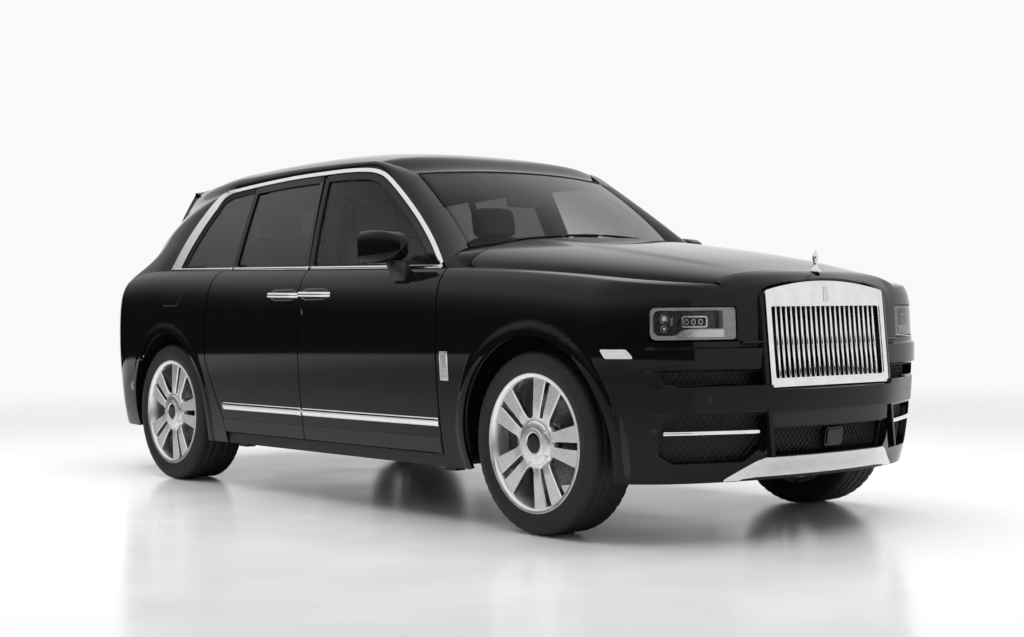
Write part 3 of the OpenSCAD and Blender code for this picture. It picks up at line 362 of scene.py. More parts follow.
def surface(name, low, high, rough=(0.3, 0.4), metal=0.0, scale=30.0, coat=0.0, coat_rough=0.03, ior=1.5,
            bump=None, spec=0.5, sheen=0.0):
    m, nt, b = principled(name)
    n = noise(nt, scale)
    nt.links.new(ramp(nt, n.outputs["Fac"], low, high), b.inputs["Base Color"])
    nt.links.new(spread(nt, n.outputs["Fac"], *rough), b.inputs["Roughness"])
    b.inputs["Metallic"].default_value = metal
    b.inputs["IOR"].default_value = ior
    b.inputs["Specular IOR Level"].default_value = spec
    b.inputs["Coat Weight"].default_value = coat
    b.inputs["Coat Roughness"].default_value = coat_rough
    b.inputs["Sheen Weight"].default_value = sheen
    if bump:
        k = noise(nt, bump[0], 2.0)
        bumped(nt, b, k.outputs["Fac"], bump[1], bump[2])
    return m


PAINT = surface("black_paint", (0.0035, 0.0035, 0.004), (0.006, 0.006, 0.007), (0.04, 0.06), scale=900, ior=1.29)
CHROME = surface("polished_chrome", (0.74, 0.74, 0.76), (0.82, 0.82, 0.83), (0.05, 0.11), metal=1.0, scale=18)
SATIN = surface("satin_alloy", (0.60, 0.61, 0.62), (0.70, 0.70, 0.71), (0.22, 0.32), metal=1.0, scale=60)
DARK = surface("dark_plastic", (0.006, 0.006, 0.006), (0.012, 0.012, 0.012), (0.45, 0.6), scale=120,
               bump=(900, 0.25, 0.0004))
RUBBER = surface("tyre_rubber", (0.008, 0.008, 0.008), (0.016, 0.016, 0.016), (0.55, 0.72), scale=60,
                 bump=(500, 0.3, 0.0006), spec=0.35)
STEEL = surface("cast_steel", (0.05, 0.05, 0.052), (0.10, 0.10, 0.105), (0.45, 0.6), metal=0.7, scale=25)
LEATHER = surface("leather", (0.045, 0.032, 0.026), (0.07, 0.05, 0.04), (0.42, 0.55), scale=40,
                  bump=(380, 0.35, 0.0008), sheen=0.1)
TRIM_DARK = surface("cabin_trim", (0.010, 0.009, 0.009), (0.02, 0.018, 0.017), (0.5, 0.65), scale=60,
                    bump=(420, 0.3, 0.0006))
LINING = surface("headlining", (0.10, 0.095, 0.09), (0.14, 0.135, 0.13), (0.8, 0.95), scale=300, sheen=0.2)
LAMP_GREY = surface("lamp_surround", (0.30, 0.31, 0.32), (0.38, 0.39, 0.40), (0.18, 0.28), scale=40, coat=0.4)
LAMP_WHITE = surface("lamp_white", (0.72, 0.72, 0.71), (0.82, 0.82, 0.81), (0.15, 0.25), scale=40)
LAMP_DARK = surface("lamp_inside", (0.03, 0.03, 0.032), (0.06, 0.06, 0.064), (0.2, 0.35), metal=0.4, scale=60)
RED = surface("red_lens", (0.16, 0.004, 0.006), (0.22, 0.006, 0.009), (0.06, 0.12), scale=50, coat=0.6)
GLOSS = surface("gloss_black", (0.004, 0.004, 0.0045), (0.008, 0.008, 0.009), (0.10, 0.16), scale=300, ior=1.4)
POLISHED = surface("polished_alloy", (0.76, 0.77, 0.79), (0.84, 0.85, 0.86), (0.26, 0.36), metal=1.0, scale=24)
IRON = surface("brake_iron", (0.16, 0.16, 0.16), (0.26, 0.25, 0.25), (0.28, 0.42), metal=0.9, scale=45)
PLATE = surface("blank_plate", (0.55, 0.55, 0.54), (0.62, 0.62, 0.61), (0.4, 0.5), scale=30)


def glass(name, tint, alpha, rough=0.015):
    m, nt, b = principled(name)
    n = noise(nt, 3.0)
    nt.links.new(ramp(nt, n.outputs["Fac"], tuple(0.9 * c for c in tint), tint), b.inputs["Base Color"])
    b.inputs["Roughness"].default_value = rough
    b.inputs["IOR"].default_value = 1.5
    f = nt.nodes.new("ShaderNodeLayerWeight")
    k = nt.nodes.new("ShaderNodeMapRange")
    k.interpolation_type = "SMOOTHSTEP"
    k.inputs["From Min"].default_value, k.inputs["From Max"].default_value = 0.35, 1.0
    k.inputs["To Min"].default_value, k.inputs["To Max"].default_value = alpha, 1.0
    nt.links.new(f.outputs["Facing"], k.inputs["Value"])
    nt.links.new(k.outputs["Result"], b.inputs["Alpha"])
    return m


SCREEN = glass("screen_glass", (0.02, 0.022, 0.022), 0.13)
TINTED = glass("side_glass", (0.012, 0.013, 0.013), 0.22)
PRIVACY = glass("privacy_glass", (0.006, 0.006, 0.007), 0.66)
CLEAR = glass("lamp_glass", (0.05, 0.05, 0.052), 0.16)


# mesh building
def add_mesh(name, verts, faces, mat, smooth=True):
    me = bpy.data.meshes.new(name)
    me.from_pydata((np.asarray(verts, float) * MM).tolist(), [], [tuple(int(i) for i in f) for f in faces])
    me.update()
    if smooth:
        me.polygons.foreach_set("use_smooth", [True] * len(me.polygons))
    me.materials.append(mat)
    o = bpy.data.objects.new(name, me)
    bpy.context.scene.collection.objects.link(o)
    return o


def seat(o, ride, nodes=()):
    """Puts a piece on its body and hides the solids that it stands for."""
    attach(o, ride)
    if nodes:
        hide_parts(*nodes)
    return o


def face_out(verts, faces, centre):
    """Turns faces away from a centre."""
    v = np.asarray(verts, float)
    f = [tuple(q) for q in faces]
    a, b, c = (v[[q[k] for q in f]] for k in (0, 1, 2))
    n = np.cross(b - a, c - a)
    if ((n * ((a + b + c) / 3 - np.asarray(centre, float))).sum()) < 0:
        f = [tuple(reversed(q)) for q in f]
    return f


def mirrored(verts, faces):
    v = np.asarray(verts, float)
    w = v * np.array([1, -1, 1])
    n = len(v)
    return np.vstack([v, w]), list(faces) + [tuple(reversed([i + n for i in q])) for q in faces]


def grid_faces(nr, nc, keep=None, loop=False):
    out = []
    for r in range(nr - 1):
        for c in range(nc if loop else nc - 1):
            if keep is None or keep[r, c]:
                d = (c + 1) % nc
                out.append((r * nc + c, r * nc + d, (r + 1) * nc + d, (r + 1) * nc + c))
    return out


def trimmed(surf, us, vs, cut=None):
    """Grid on a surface with the places where cut is positive left out and its edge pulled to the cut line."""
    u, v = np.meshgrid(np.asarray(us, float), np.asarray(vs, float))
    if cut is None:
        p = surf(u, v)
        return p.reshape(-1, 3), grid_faces(*u.shape)

    def sd(a, b):
        return cut(surf(a, b))

    def mid(a):
        return (a[:-1, :-1] + a[1:, :-1] + a[:-1, 1:] + a[1:, 1:]) / 4

    keep = sd(mid(u), mid(v)) < 0
    near_kept, near_cut = np.zeros(u.shape, bool), np.zeros(u.shape, bool)
    for i in (0, 1):
        for j in (0, 1):
            view = (slice(i, i + keep.shape[0]), slice(j, j + keep.shape[1]))
            near_kept[view] |= keep
            near_cut[view] |= ~keep
    rim = near_kept & near_cut
    du, dv = np.median(np.abs(np.diff(us))), np.median(np.abs(np.diff(vs)))
    uu, vv = u[rim], v[rim]
    hu, hv = du * 0.05, dv * 0.05
    for _ in range(5):
        d = sd(uu, vv)
        gu = (sd(uu + hu, vv) - sd(uu - hu, vv)) / 0.1
        gv = (sd(uu, vv + hv) - sd(uu, vv - hv)) / 0.1
        k = d / np.maximum(0.5, gu * gu + gv * gv)
        uu = uu - np.clip(k * gu, -0.8, 0.8) * du
        vv = vv - np.clip(k * gv, -0.8, 0.8) * dv
    u[rim], v[rim] = np.clip(uu, min(us), max(us)), np.clip(vv, min(vs), max(vs))
    return surf(u, v).reshape(-1, 3), grid_faces(*u.shape, keep=keep)


def compact(verts, faces):
    used = sorted({i for q in faces for i in q})
    at = {k: i for i, k in enumerate(used)}
    return np.asarray(verts)[used], [tuple(at[i] for i in q) for q in faces]


def thicken(o, thick, edge, segments=2, angle=50):
    if thick:
        s = o.modifiers.new("thickness", "SOLIDIFY")
        s.thickness, s.offset, s.use_even_offset = thick * MM, -1, False
    if edge:
        b = o.modifiers.new("edge", "BEVEL")
        b.width, b.segments, b.limit_method, b.angle_limit = edge * MM, segments, "ANGLE", math.radians(angle)
        b.harden_normals = True
    return o


def lin(a, b, step):
    return np.linspace(a, b, max(2, int(abs(b - a) / step) + 1))


def skin(name, verts, faces, ride, nodes, mat, thick, edge, both, centre):
    """Sheet turned away from a centre, on both sides of the car where both is set."""
    faces = face_out(verts, faces, centre)
    if both:
        verts, faces = mirrored(verts, faces)
    return seat(thicken(add_mesh(name, verts, faces, mat), thick, edge), ride, nodes)


def panel(name, surf, us, vs, ride, nodes=(), mat=PAINT, cut=None, thick=16, edge=2.0, both=True, centre=(0, 0, 800)):
    """Grid on a surface, less its cut."""
    return skin(name, *compact(*trimmed(surf, us, vs, cut)), ride, nodes, mat, thick, edge, both, centre)


def filled(poly, step):
    """Flat mesh inside an outline, in the outline's own plane."""
    q = np.asarray(poly, float)
    (x0, z0), (x1, z1) = q.min(0), q.max(0)
    return compact(*trimmed(lambda a, b: xyz(a, b, 0), lin(x0, x1, step), lin(z0, z1, step),
                            lambda p: -poly_sd(p[..., 0], p[..., 1], q)))


def sheet(name, poly, place, thick, mat, ride="body_shell", step=12, edge=1.5, both=False):
    """Thin raised piece that follows a surface inside an outline."""
    flat, faces = filled(poly, step)
    return skin(name, place(flat[:, 0], flat[:, 1]), faces, ride, (), mat, thick, edge, both, (0, 0, 600))


class Kit:
    """Collects simple solids into one mesh."""

    def __init__(self):
        self.v, self.f, self.m, self.n = [], [], [], 0

    def add(self, verts, faces, slot=0):
        v = np.asarray(verts, float).reshape(-1, 3)
        self.f += [tuple(int(i) + self.n for i in q) for q in faces]
        self.m += [slot] * len(faces)
        self.v.append(v)
        self.n += len(v)
        return self

    def tube(self, loops, joined=False, slot=0, closed=True):
        """Skin over lines of points; joined closes each line, closed joins the last line to the first."""
        m, n = len(loops), len(loops[0])
        faces = []
        for k in range(m if closed else m - 1):
            q = (k + 1) % m
            for i in range(n if joined else n - 1):
                j = (i + 1) % n
                faces.append((k * n + i, k * n + j, q * n + j, q * n + i))
        if not joined:
            faces += [tuple(k * n for k in range(m)), tuple(k * n + n - 1 for k in reversed(range(m)))]
        return self.add(np.vstack(loops), faces, slot)

    def band(self, place, rows, slot=0):
        """Ring through rows of (outline, depth) on a surface."""
        return self.tube([place(*q.T, d) for q, d in rows], joined=True, slot=slot)

    def plate(self, front, back, slot=0):
        """Outline given twice, at the face and at the back."""
        n = len(front)
        faces = [tuple(range(n)), tuple(range(2 * n - 1, n - 1, -1))]
        faces += [(i, n + i, n + (i + 1) % n, (i + 1) % n) for i in range(n)]
        return self.add(np.vstack([front, back]), faces, slot)

    def slab(self, place, q, face, back, slot=0):
        """Plate with one outline at two depths on a surface."""
        return self.plate(place(*q.T, face), place(*q.T, back), slot)

    def grid(self, surf, us, vs, slot=0):
        u, v = np.meshgrid(us, vs)
        return self.add(surf(u, v), grid_faces(*u.shape), slot)

    def spin(self, profile, centre, out=1.0, count=96, slot=0, closed=False):
        """Profile of (radius, outward) turned about an axle along Y."""
        t = np.linspace(0, 2 * np.pi, count, endpoint=False)
        return self.tube([xyz(centre[0] + r * np.cos(t), centre[1] + out * h, centre[2] + r * np.sin(t))
                          for r, h in profile], True, slot, closed)

    def mirror(self):
        n = self.n
        self.f += [tuple(i + n for i in reversed(q)) for q in self.f]
        self.m += list(self.m)
        self.v.append(np.vstack(self.v) * np.array([1, -1, 1]))
        self.n += n
        return self

    def make(self, name, mats, ride="body_shell", nodes=(), edge=0, segments=2, angle=40, smooth=True):
        mats = mats if isinstance(mats, list) else [mats]
        o = add_mesh(name, np.vstack(self.v), self.f, mats[0], smooth)
        for q in mats[1:]:
            o.data.materials.append(q)
        o.data.polygons.foreach_set("material_index", self.m)
        bm = bmesh.new()
        bm.from_mesh(o.data)
        bmesh.ops.recalc_face_normals(bm, faces=bm.faces)
        bm.to_mesh(o.data)
        bm.free()
        return seat(thicken(o, 0, edge, segments, angle), ride, nodes)


def unit(v):
    return v / np.maximum(1e-9, np.linalg.norm(v, axis=-1, keepdims=True))


def swept(path, normal, section):
    """Loops of a section (side, out) carried along a path."""
    p = np.asarray(path, float)
    t = unit(np.gradient(p, axis=0))
    n = unit(np.asarray(normal, float) + 0 * p)
    b = unit(np.cross(t, n))
    n = np.cross(b, t)
    return [p + b * s + n * o for s, o in section]


def rounded(poly, radius, n=5):
    """Outline with its corners rounded."""
    p = np.asarray(poly, float)
    rad = np.broadcast_to(np.asarray(radius, float), len(p))
    out = []
    for i, q in enumerate(p):
        a, b = p[i - 1] - q, p[(i + 1) % len(p)] - q
        la, lb = np.linalg.norm(a), np.linalg.norm(b)
        r = min(rad[i], la * 0.49, lb * 0.49)
        if r < 0.5:
            out.append(q)
            continue
        s, e = q + a / la * r, q + b / lb * r
        for t in np.linspace(0, 1, n):
            out.append((1 - t) ** 2 * s + 2 * t * (1 - t) * q + t * t * e)
    return np.array(out)


def block(x0, x1, z0, z1, radius, n=5):
    """Rounded rectangle."""
    return rounded([[x0, z0], [x1, z0], [x1, z1], [x0, z1]], radius, n)


def oval(cx, cy, rx, ry, n=36, power=2.0):
    t = np.linspace(0, 2 * np.pi, n, endpoint=False)
    c, s = (np.sign(q) * np.abs(q) ** (2 / power) for q in (np.cos(t), np.sin(t)))
    return np.stack([cx + rx * c, cy + ry * s], 1)


def ring_of(poly, n):
    return resample(np.vstack([poly, poly[:1]]), n + 1)[:-1]


def side_point(x, z, out=0.0):
    """Place on the car's left flank."""
    return xyz(x, plan_half(x) - side_inset(x, z) + flare(x, z) + out, z)


def nose_point(y, z, depth=0.0):
    """Place on the front face at a given distance from the middle."""
    a = np.degrees(np.arcsin(np.clip(np.abs(y) / FC_H, 0, 1)))
    p = body(u_front(a), z, depth)
    p[..., 1] *= np.where(np.asarray(y) < 0, -1, 1)
    return p


def tail_face(y, z, out):
    """Place on the tail at a given distance from the middle."""
    p = body(u_rear(rear_angle(np.abs(y))), z, -out)
    p[..., 1] *= np.where(np.asarray(y) < 0, -1, 1)
    return p


def twin(o, ride, nodes=()):
    """Right-hand twin of a left-hand piece, as a mesh of its own on the matching body."""
    v = np.array([q.co for q in o.data.vertices]) / MM
    f = [tuple(reversed(q.vertices)) for q in o.data.polygons]
    t = add_mesh(o.name.replace("left", "right"), v * np.array([1, -1, 1]), f, o.data.materials[0])
    for m in list(o.data.materials)[1:]:
        t.data.materials.append(m)
    t.data.polygons.foreach_set("material_index", [q.material_index for q in o.data.polygons])
    for m in o.modifiers:
        if m.type == "SOLIDIFY":
            thicken(t, m.thickness / MM, 0)
        else:
            thicken(t, 0, m.width / MM, m.segments, math.degrees(m.angle_limit))
    right_body = ride[:-2] + "_r" if ride.endswith("_l") else ride
    return seat(t, right_body, [n.replace("left", "right") for n in nodes])


def pair(kit, name, mats, ride, edge=0.0, nodes=()):
    """Left-hand piece and its right-hand twin on the matching bodies."""
    twin(kit.make(name, mats, ride, nodes, edge=edge), ride, nodes)
# outer panels
FENDER_U = np.concatenate([np.linspace(DOOR_F + HINGE / 2, FC_X, 9), u_front([78, 68, 57, 46, 36])])
FENDER_X = np.concatenate([np.linspace(DOOR_F + HINGE / 2, FC_X, 9),
                           [FC_X + 160, FC_X + 250, FC_X + 310, FC_X + 355, BONNET_FRONT - 3]])


def fender_surf(u, n):
    low = side_row(u, np.minimum(n, TOP_ROW))
    k = np.clip((n - TOP_ROW) / FOLD, 0, 1)
    x = np.interp(u, FENDER_U, FENDER_X)
    extra = np.interp(u, FENDER_U[[11, 12]], [0, 3])
    top = xyz(x, bonnet_half(x) + SHUT / 2 + extra, shoulder_z(x) + 2)
    out = mix(low, top, k[..., None])
    out[..., 2] += 9 * np.sin(np.pi * k)
    return out


def arch(p, cx):
    return ARCH_R - np.hypot(p[..., 0] - cx, p[..., 2] - TYRE_R)


def fender_cut(p):
    x, z = p[..., 0], p[..., 2]
    bumper = np.minimum(x - XF - 60, BUMPER_TOP + 1.5 - z)
    lamp = np.minimum(x - LAMP_BACK, LAMP_TOP + 1.5 - z)
    return np.maximum.reduce([arch(p, XF), bumper, lamp])


panel("fender_skins", fender_surf,
      np.concatenate([lin(DOOR_F + HINGE / 2, FC_X, 14), lin(FC_X, u_front(36), 13)[1:]]),
      np.concatenate([lin(SILL, 1100, 18), lin(1100, TOP_ROW, 7)[1:], lin(TOP_ROW, TOP_ROW + FOLD, 6)[1:]]),
      "body_shell", ["front_fenders"], cut=fender_cut)


def door_surf(x0, x1):
    def surf(t, n):
        z0 = np.minimum(n, TOP_ROW)
        x = mix(x0(z0), x1(z0), t)
        z = row_z(x, n)
        return xyz(x, plan_half(x) - side_inset(x, z) + flare(x, z), z)
    return surf


DOOR_N = np.concatenate([lin(DOOR_LOW, 1080, 22), lin(1080, TOP_ROW, 7)[1:]])
front_skin = door_surf(lambda z: 0 * z + B_X + SHUT / 2, lambda z: 0 * z + DOOR_F - HINGE / 2)
rear_skin = door_surf(lambda z: door_edge(np.minimum(z, 1215)), lambda z: 0 * z + B_X - SHUT / 2)
UPPER = inset(spline(DLO, 150), 27, closed=False)
ZT, ZB = 1706 - 27, WAIST - 18


def front_outline():
    x_end = float(b_line(ZT) + b_gap(ZT))
    top = UPPER[UPPER[:, 0] > x_end + 6]
    zs = [ZT, 1560, 1450, 1320, 1200]
    b = [[float(b_line(z) + b_gap(z)), z] for z in zs]
    low = [[B_X + 30, ZB], [XF - 1240, ZB - 8], [XF - 760, ZB - 18]]
    return densify(np.vstack([top, b, low]), 24)


def rear_outline():
    x_end = float(b_line(ZT) - b_gap(ZT))
    top = UPPER[(UPPER[:, 0] < x_end - 6) & (UPPER[:, 0] > C_SEAM + 12) & (UPPER[:, 1] > 1600)]
    e = C_SEAM + SHUT / 2
    z_c = np.interp(e, top[::-1, 0], top[::-1, 1])
    low = [[e, z_c - 3], [e, 1450], [e, float(shoulder_z(C_SEAM)) + 8], [C_SEAM + 60, WAIST - 2],
           [XR + 1080, WAIST - 8], [B_X - 30, WAIST - 14]]
    b = [[float(b_line(z) - b_gap(z)), z] for z in (1200, 1320, 1450, 1560)]
    return densify(np.vstack([[[x_end, ZT]], top, low, b]), 24)


def window(name, poly, depth, step, mat, ride, nodes, both=False):
    """Side glass inside an outline of (x, z)."""
    (x0, z0), (x1, z1) = poly.min(0), poly.max(0)
    return panel(name, lambda x, z: on_side(x, z, depth), lin(x0, x1, step), lin(z0, z1, step), ride, nodes, mat,
                 lambda p: -poly_sd(p[..., 0], p[..., 2], poly), 5, 0, both, (0, 0, 1300))


def door(which, skin_surf, outline, glazing):
    """Skin, window frame and glass of a left-hand door, and their right-hand twins."""
    ride, node = f"{which}_door_l", [f"{which}_door_left"]
    twin(panel(f"{which}_door_skin_left", skin_surf, np.linspace(0, 1, 58), DOOR_N, ride, node, both=False, thick=92,
               edge=2.2), ride, node)
    hole, slim = inset(outline, 34), inset(outline, 12)
    border = Kit().band(on_side, [(outline, 0), (hole, 3), (hole, 40), (slim, 40)])
    twin(border.make(f"{which}_door_frame_left", PAINT, ride, edge=1.5, angle=50), ride)
    node = [f"{which}_glass_left"]
    twin(window(f"{which}_door_glass_left", inset(outline, 22), 12, 22, glazing, ride, node), ride, node)


door("front", front_skin, front_outline(), TINTED)
door("rear", rear_skin, rear_outline(), PRIVACY)


def quarter_surf(t, n):
    z0 = np.clip(n, 312, 1215)
    start = door_edge(z0) - HINGE
    u = np.where(t < 1, mix(start, RC_X, np.clip(t, 0, 1)), u_rear(rear_angle(np.interp(t, [1, 2], [RC_H, 690]))))
    return side_row(u, n)


def quarter_cut(p):
    x, y, z = p[..., 0], p[..., 1], p[..., 2]
    bumper = np.minimum(XR - 60 - x, TAIL_TOP + 1.5 - z)
    lamp = np.minimum.reduce([RC_X - 250 - x, y - 699, 851 - y, z - 789, 1067 - z])
    return np.maximum.reduce([arch(p, XR), bumper, lamp])


panel("quarter_skins", quarter_surf, np.concatenate([np.linspace(0, 1, 90), np.linspace(1, 2, 44)[1:]]),
      np.concatenate([lin(SILL, 1080, 17), lin(1080, TOP_ROW, 7)[1:]]), "body_shell", ["quarter_panels"],
      cut=quarter_cut)

# roof, pillars and rails
RAIL_N = 140
RAIL_A = spline(DLO[:11], RAIL_N)
RAIL_B = spline(np.array([screen_point(np.array(1.0), v) for v in (0, 0.27, 0.6, 0.93, 0.995)]
                         + [[x, ROOF_EDGE * RAIL_HALF, float(roof_z(x, ROOF_EDGE))] for x in DLO[5:11, 0]]), RAIL_N)


def rail_surf(i, t):
    k = np.clip(i, 0, RAIL_N - 1)
    lo = np.floor(k).astype(int)
    hi = np.minimum(lo + 1, RAIL_N - 1)
    f = (k - lo)[..., None]
    q = RAIL_A[lo] * (1 - f) + RAIL_A[hi] * f
    a = on_side(q[..., 0], q[..., 1])
    b = RAIL_B[lo] * (1 - f) + RAIL_B[hi] * f
    t = t[..., None]
    lift = np.array([7.0, 17.0, 11.0]) * 4 * t * (1 - t)
    return mix(a, b, t) + lift


panel("roof_rail_skins", rail_surf, np.arange(RAIL_N), np.linspace(0, 1, 12), "body_shell", ["roof_rails"], thick=24,
      centre=(0, 0, 1200))


def b_post():
    rows = []
    for z in (420, 700, 1110, 1200, 1330, 1450, 1570, 1680):
        x = float(b_line(z))
        y = 776 if z < 1150 else float(glass_y(x, z)) - (80 if z < 1250 else 54)
        rows.append(xyz([x - 60, x + 60, x + 45, x - 45], [y, y, y - 60, y - 60], z))
    return np.swapaxes(np.array(rows), 0, 1)


Kit().tube(list(b_post())).mirror().make("centre_posts", TRIM_DARK, edge=6, angle=50)


def roof_surf(v, w):
    h = screen_head(w / 0.936)
    x = mix(h[..., 0] - 2, ROOF_BACK, v)
    z = roof_z(x, w)
    e = ease(1 - v / 0.09)
    return xyz(x, mix(w * (roof_half(x) - 0.5), h[..., 1] * 0.997, e), mix(z, h[..., 2] + 4, e))


panel("roof_skin", roof_surf, np.concatenate([np.linspace(0, 0.1, 14), np.linspace(0.1, 1, 60)[1:]]),
      np.linspace(-ROOF_EDGE, ROOF_EDGE, 70), "body_shell", ["roof_panel"], both=False, thick=20)

PILLAR_Z = np.array([1222, 1340, 1500, 1620, 1690], float)
PILLAR_US = np.concatenate([np.linspace(XR - 98, RC_X, 4), u_rear(rear_angle([946, 900, 820, 730]))])


def pillar_rows():
    """Rows of a rear pillar from its foot on the flank up to the roof; each runs from the window to the tailgate."""
    t = np.linspace(0, 1, 44)
    us = np.interp(t, np.linspace(0, 1, len(PILLAR_US)), PILLAR_US)
    foot = body_row(us, TOP_ROW) + [0, 0, 0.5]
    foot[:, 1] = mix(on_side(us[0], TOP_ROW, 5.0)[1], foot[:, 1], ease(t / 0.22))
    rows = [foot]
    fronts = [on_side(*DLO[i], 5.0) for i in (13, 12, 11, 10)]
    x10 = DLO[10, 0]
    rail_mid = (on_side(*DLO[10]) + [x10, ROOF_EDGE * RAIL_HALF, float(roof_z(x10, ROOF_EDGE))]) / 2
    fronts.append(rail_mid + [0, 16, 12])
    for k, z in enumerate(PILLAR_Z):
        back = tail_edge(z, np.array(1.0)) + [0, SHUT + 1, 0]
        row = mix(fronts[k], back, t[:, None])
        row[:, 1] += np.sin(np.pi * t) * (88 * (1 - (k + 1) / 6) ** 1.2 + 10)
        rows.append(row)
    x = mix(x10 - 0.4, ROOF_BACK, t)
    rows.append(xyz(x, ROOF_EDGE * roof_half(x) + 0.3, roof_z(x, ROOF_EDGE)))
    return np.array(rows)


def pillar_shell(name, grid, nodes=(), thick=16, edge=2.0):
    skin(name, grid.reshape(-1, 3), grid_faces(*grid.shape[:2]), "body_shell", nodes, PAINT, thick, edge, True,
         (-1500, 0, 1000))


rows = pillar_rows()
PILLAR_GRID = np.stack([spline(rows[:, j], 40) for j in range(rows.shape[1])], 1)
pillar_shell("rear_pillar_skins", PILLAR_GRID, ["rear_pillars"])
# return of the pillar's front edge into the window
lip = PILLAR_GRID[:, 0][PILLAR_GRID[:, 0, 2] < 1640]
edge_line = spline(DLO, 150)[100:]
edge_line = edge_line[np.argsort(edge_line[:, 1])]
turn = on_side(np.interp(lip[:, 2], edge_line[:, 1], edge_line[:, 0]) + 6, lip[:, 2], 6.0)
pillar_shell("rear_pillar_returns", np.stack([lip, (lip + turn) / 2, turn]), thick=4, edge=0)

q_edge = inset(spline(DLO, 150), 14, closed=False)
q_top = q_edge[q_edge[:, 0] < C_SEAM - 8]
q_low = [[x, float(shoulder_z(x)) + 8] for x in lin(q_top[-1, 0] + 8, C_SEAM - 8, 40)]
q_poly = np.vstack([[[C_SEAM - 8, q_top[0, 1]]], q_top[q_top[:, 1] > shoulder_z(q_top[:, 0]) + 10], q_low])
window("quarter_window", q_poly, 14, 16, PRIVACY, "body_shell", ["quarter_glass"], both=True)

# bonnet, nose and windscreen
def bonnet_surf(v, w):
    rear = mix(XF - 565, FENDER_X[0] + 6, w * w)
    x = mix(rear, BONNET_FRONT - 2, v)
    crown = 5 * (1 - ease((np.abs(w) - 0.50 - 0.06 * v) / 0.12)) * ease((1 - v) / 0.25)
    return xyz(x, w * (bonnet_half(x) - SHUT / 2), bonnet_z(x, w) + crown * ease(v / 0.05))


w_side = np.array([0.9, 0.93, 0.955, 0.973, 0.986, 0.995, 1.0])
w_all = np.concatenate([-w_side[::-1], np.linspace(-0.87, 0.87, 76), w_side])
panel("bonnet_skin", bonnet_surf, np.linspace(0, 1, 74), w_all, "bonnet_lid", ["bonnet"], both=False, thick=20)

NOSE_A = 35.95
LAMP_A = 32.2
LAMP_IN = float(body(u_front(LAMP_A), 900.0)[1]) - 1


def grille_arch(y):
    return GRILLE_CORNER + 42 * (1 - (y / GRILLE_HALF) ** 2)


def nose_surf(a, n):
    u = u_front(np.abs(a))
    sg = np.sign(a)
    low = body_row(u, np.clip(n, 900, TOP_ROW))
    low[..., 2] = np.where(n < 900, mix(BUMPER_TOP + 1.5, low[..., 2], (n - 826) / 74), low[..., 2])
    y = low[..., 1]
    low[..., 2] += 46 * np.maximum(0, 1 - (y / 480) ** 2) * ease((n - 940) / 240)
    w = np.abs(a) / NOSE_A * 0.985
    back = xyz(BONNET_FRONT + SHUT - 2, w * bonnet_half(BONNET_FRONT), bonnet_z(BONNET_FRONT, w))
    k = np.clip((n - TOP_ROW) / FOLD, 0, 1)
    out = mix(low, back, k[..., None])
    out[..., 2] += 8 * np.sin(np.pi * k)
    out[..., 1] *= sg
    return out


g_hole = np.array([[GRILLE_HALF + 2, 500], [GRILLE_HALF + 2, GRILLE_CORNER + 2]]
                  + [[y, grille_arch(y) + 9] for y in np.linspace(340, -340, 25)]
                  + [[-GRILLE_HALF - 2, GRILLE_CORNER + 2], [-GRILLE_HALF - 2, 500]])
panel("nose_skin", nose_surf, np.linspace(-NOSE_A, NOSE_A, 120),
      np.concatenate([lin(826, TOP_ROW, 9), lin(TOP_ROW, TOP_ROW + FOLD, 5)[1:]]), "body_shell", ["nose_panel"],
      both=False,
      cut=lambda p: np.maximum(np.where(p[..., 0] > XN - 190, poly_sd(p[..., 1], p[..., 2], g_hole), -50.0),
                               np.minimum(np.abs(p[..., 1]) - LAMP_IN, LAMP_TOP + 1.5 - p[..., 2])))

LOW_INTAKE = [[470, 332], [750, 332], [800, 366], [806, 440], [796, 500], [764, 527], [412, 527], [412, 395]]
MID_INTAKE = [[-384, 350], [384, 350], [392, 410], [384, 468], [-384, 468], [-392, 410]]
SLOT_INTAKE = [[412, 654], [786, 654], [812, 682], [812, 704], [412, 704]]


def bumper_surf(s, z):
    u = FC_X + 1000 - np.abs(s) * (1000 + FC_X - XF - 150)
    x, y = plan(u)[:2]
    low = 11 * ease((z - 529) / 8) * ease((653 - z) / 8) * ease((850 - y) / 120)
    high = 13 * ease((z - 705) / 8) * ease((806 - z) / 9) * ease((864 - y) / 30)
    p = body(u, z, -flare(x, z) - low - high)
    wall = np.where(z > 575, ease((654 - z) / 8) - ease((640 - z) / 60), 0)
    p[..., 0] += np.where(x < FC_X, 0, NOSE_BULGE * wall * ease((700 - y) / 420))
    p[..., 1] *= np.sign(s)
    return p


def bumper_cut(p):
    y, z = p[..., 1], p[..., 2]
    ay = np.abs(y)
    cuts = [arch(p, XF), np.minimum(GRILLE_HALF + 4 - ay, z - GRILLE_LOW + 8)]
    for poly in (LOW_INTAKE, SLOT_INTAKE):
        cuts.append(poly_sd(ay, z, poly))
    cuts.append(poly_sd(y, z, MID_INTAKE))
    cuts[2:] = [np.where(p[..., 0] > XF + 330, c, -50.0) for c in cuts[2:]]
    return np.maximum.reduce(cuts)


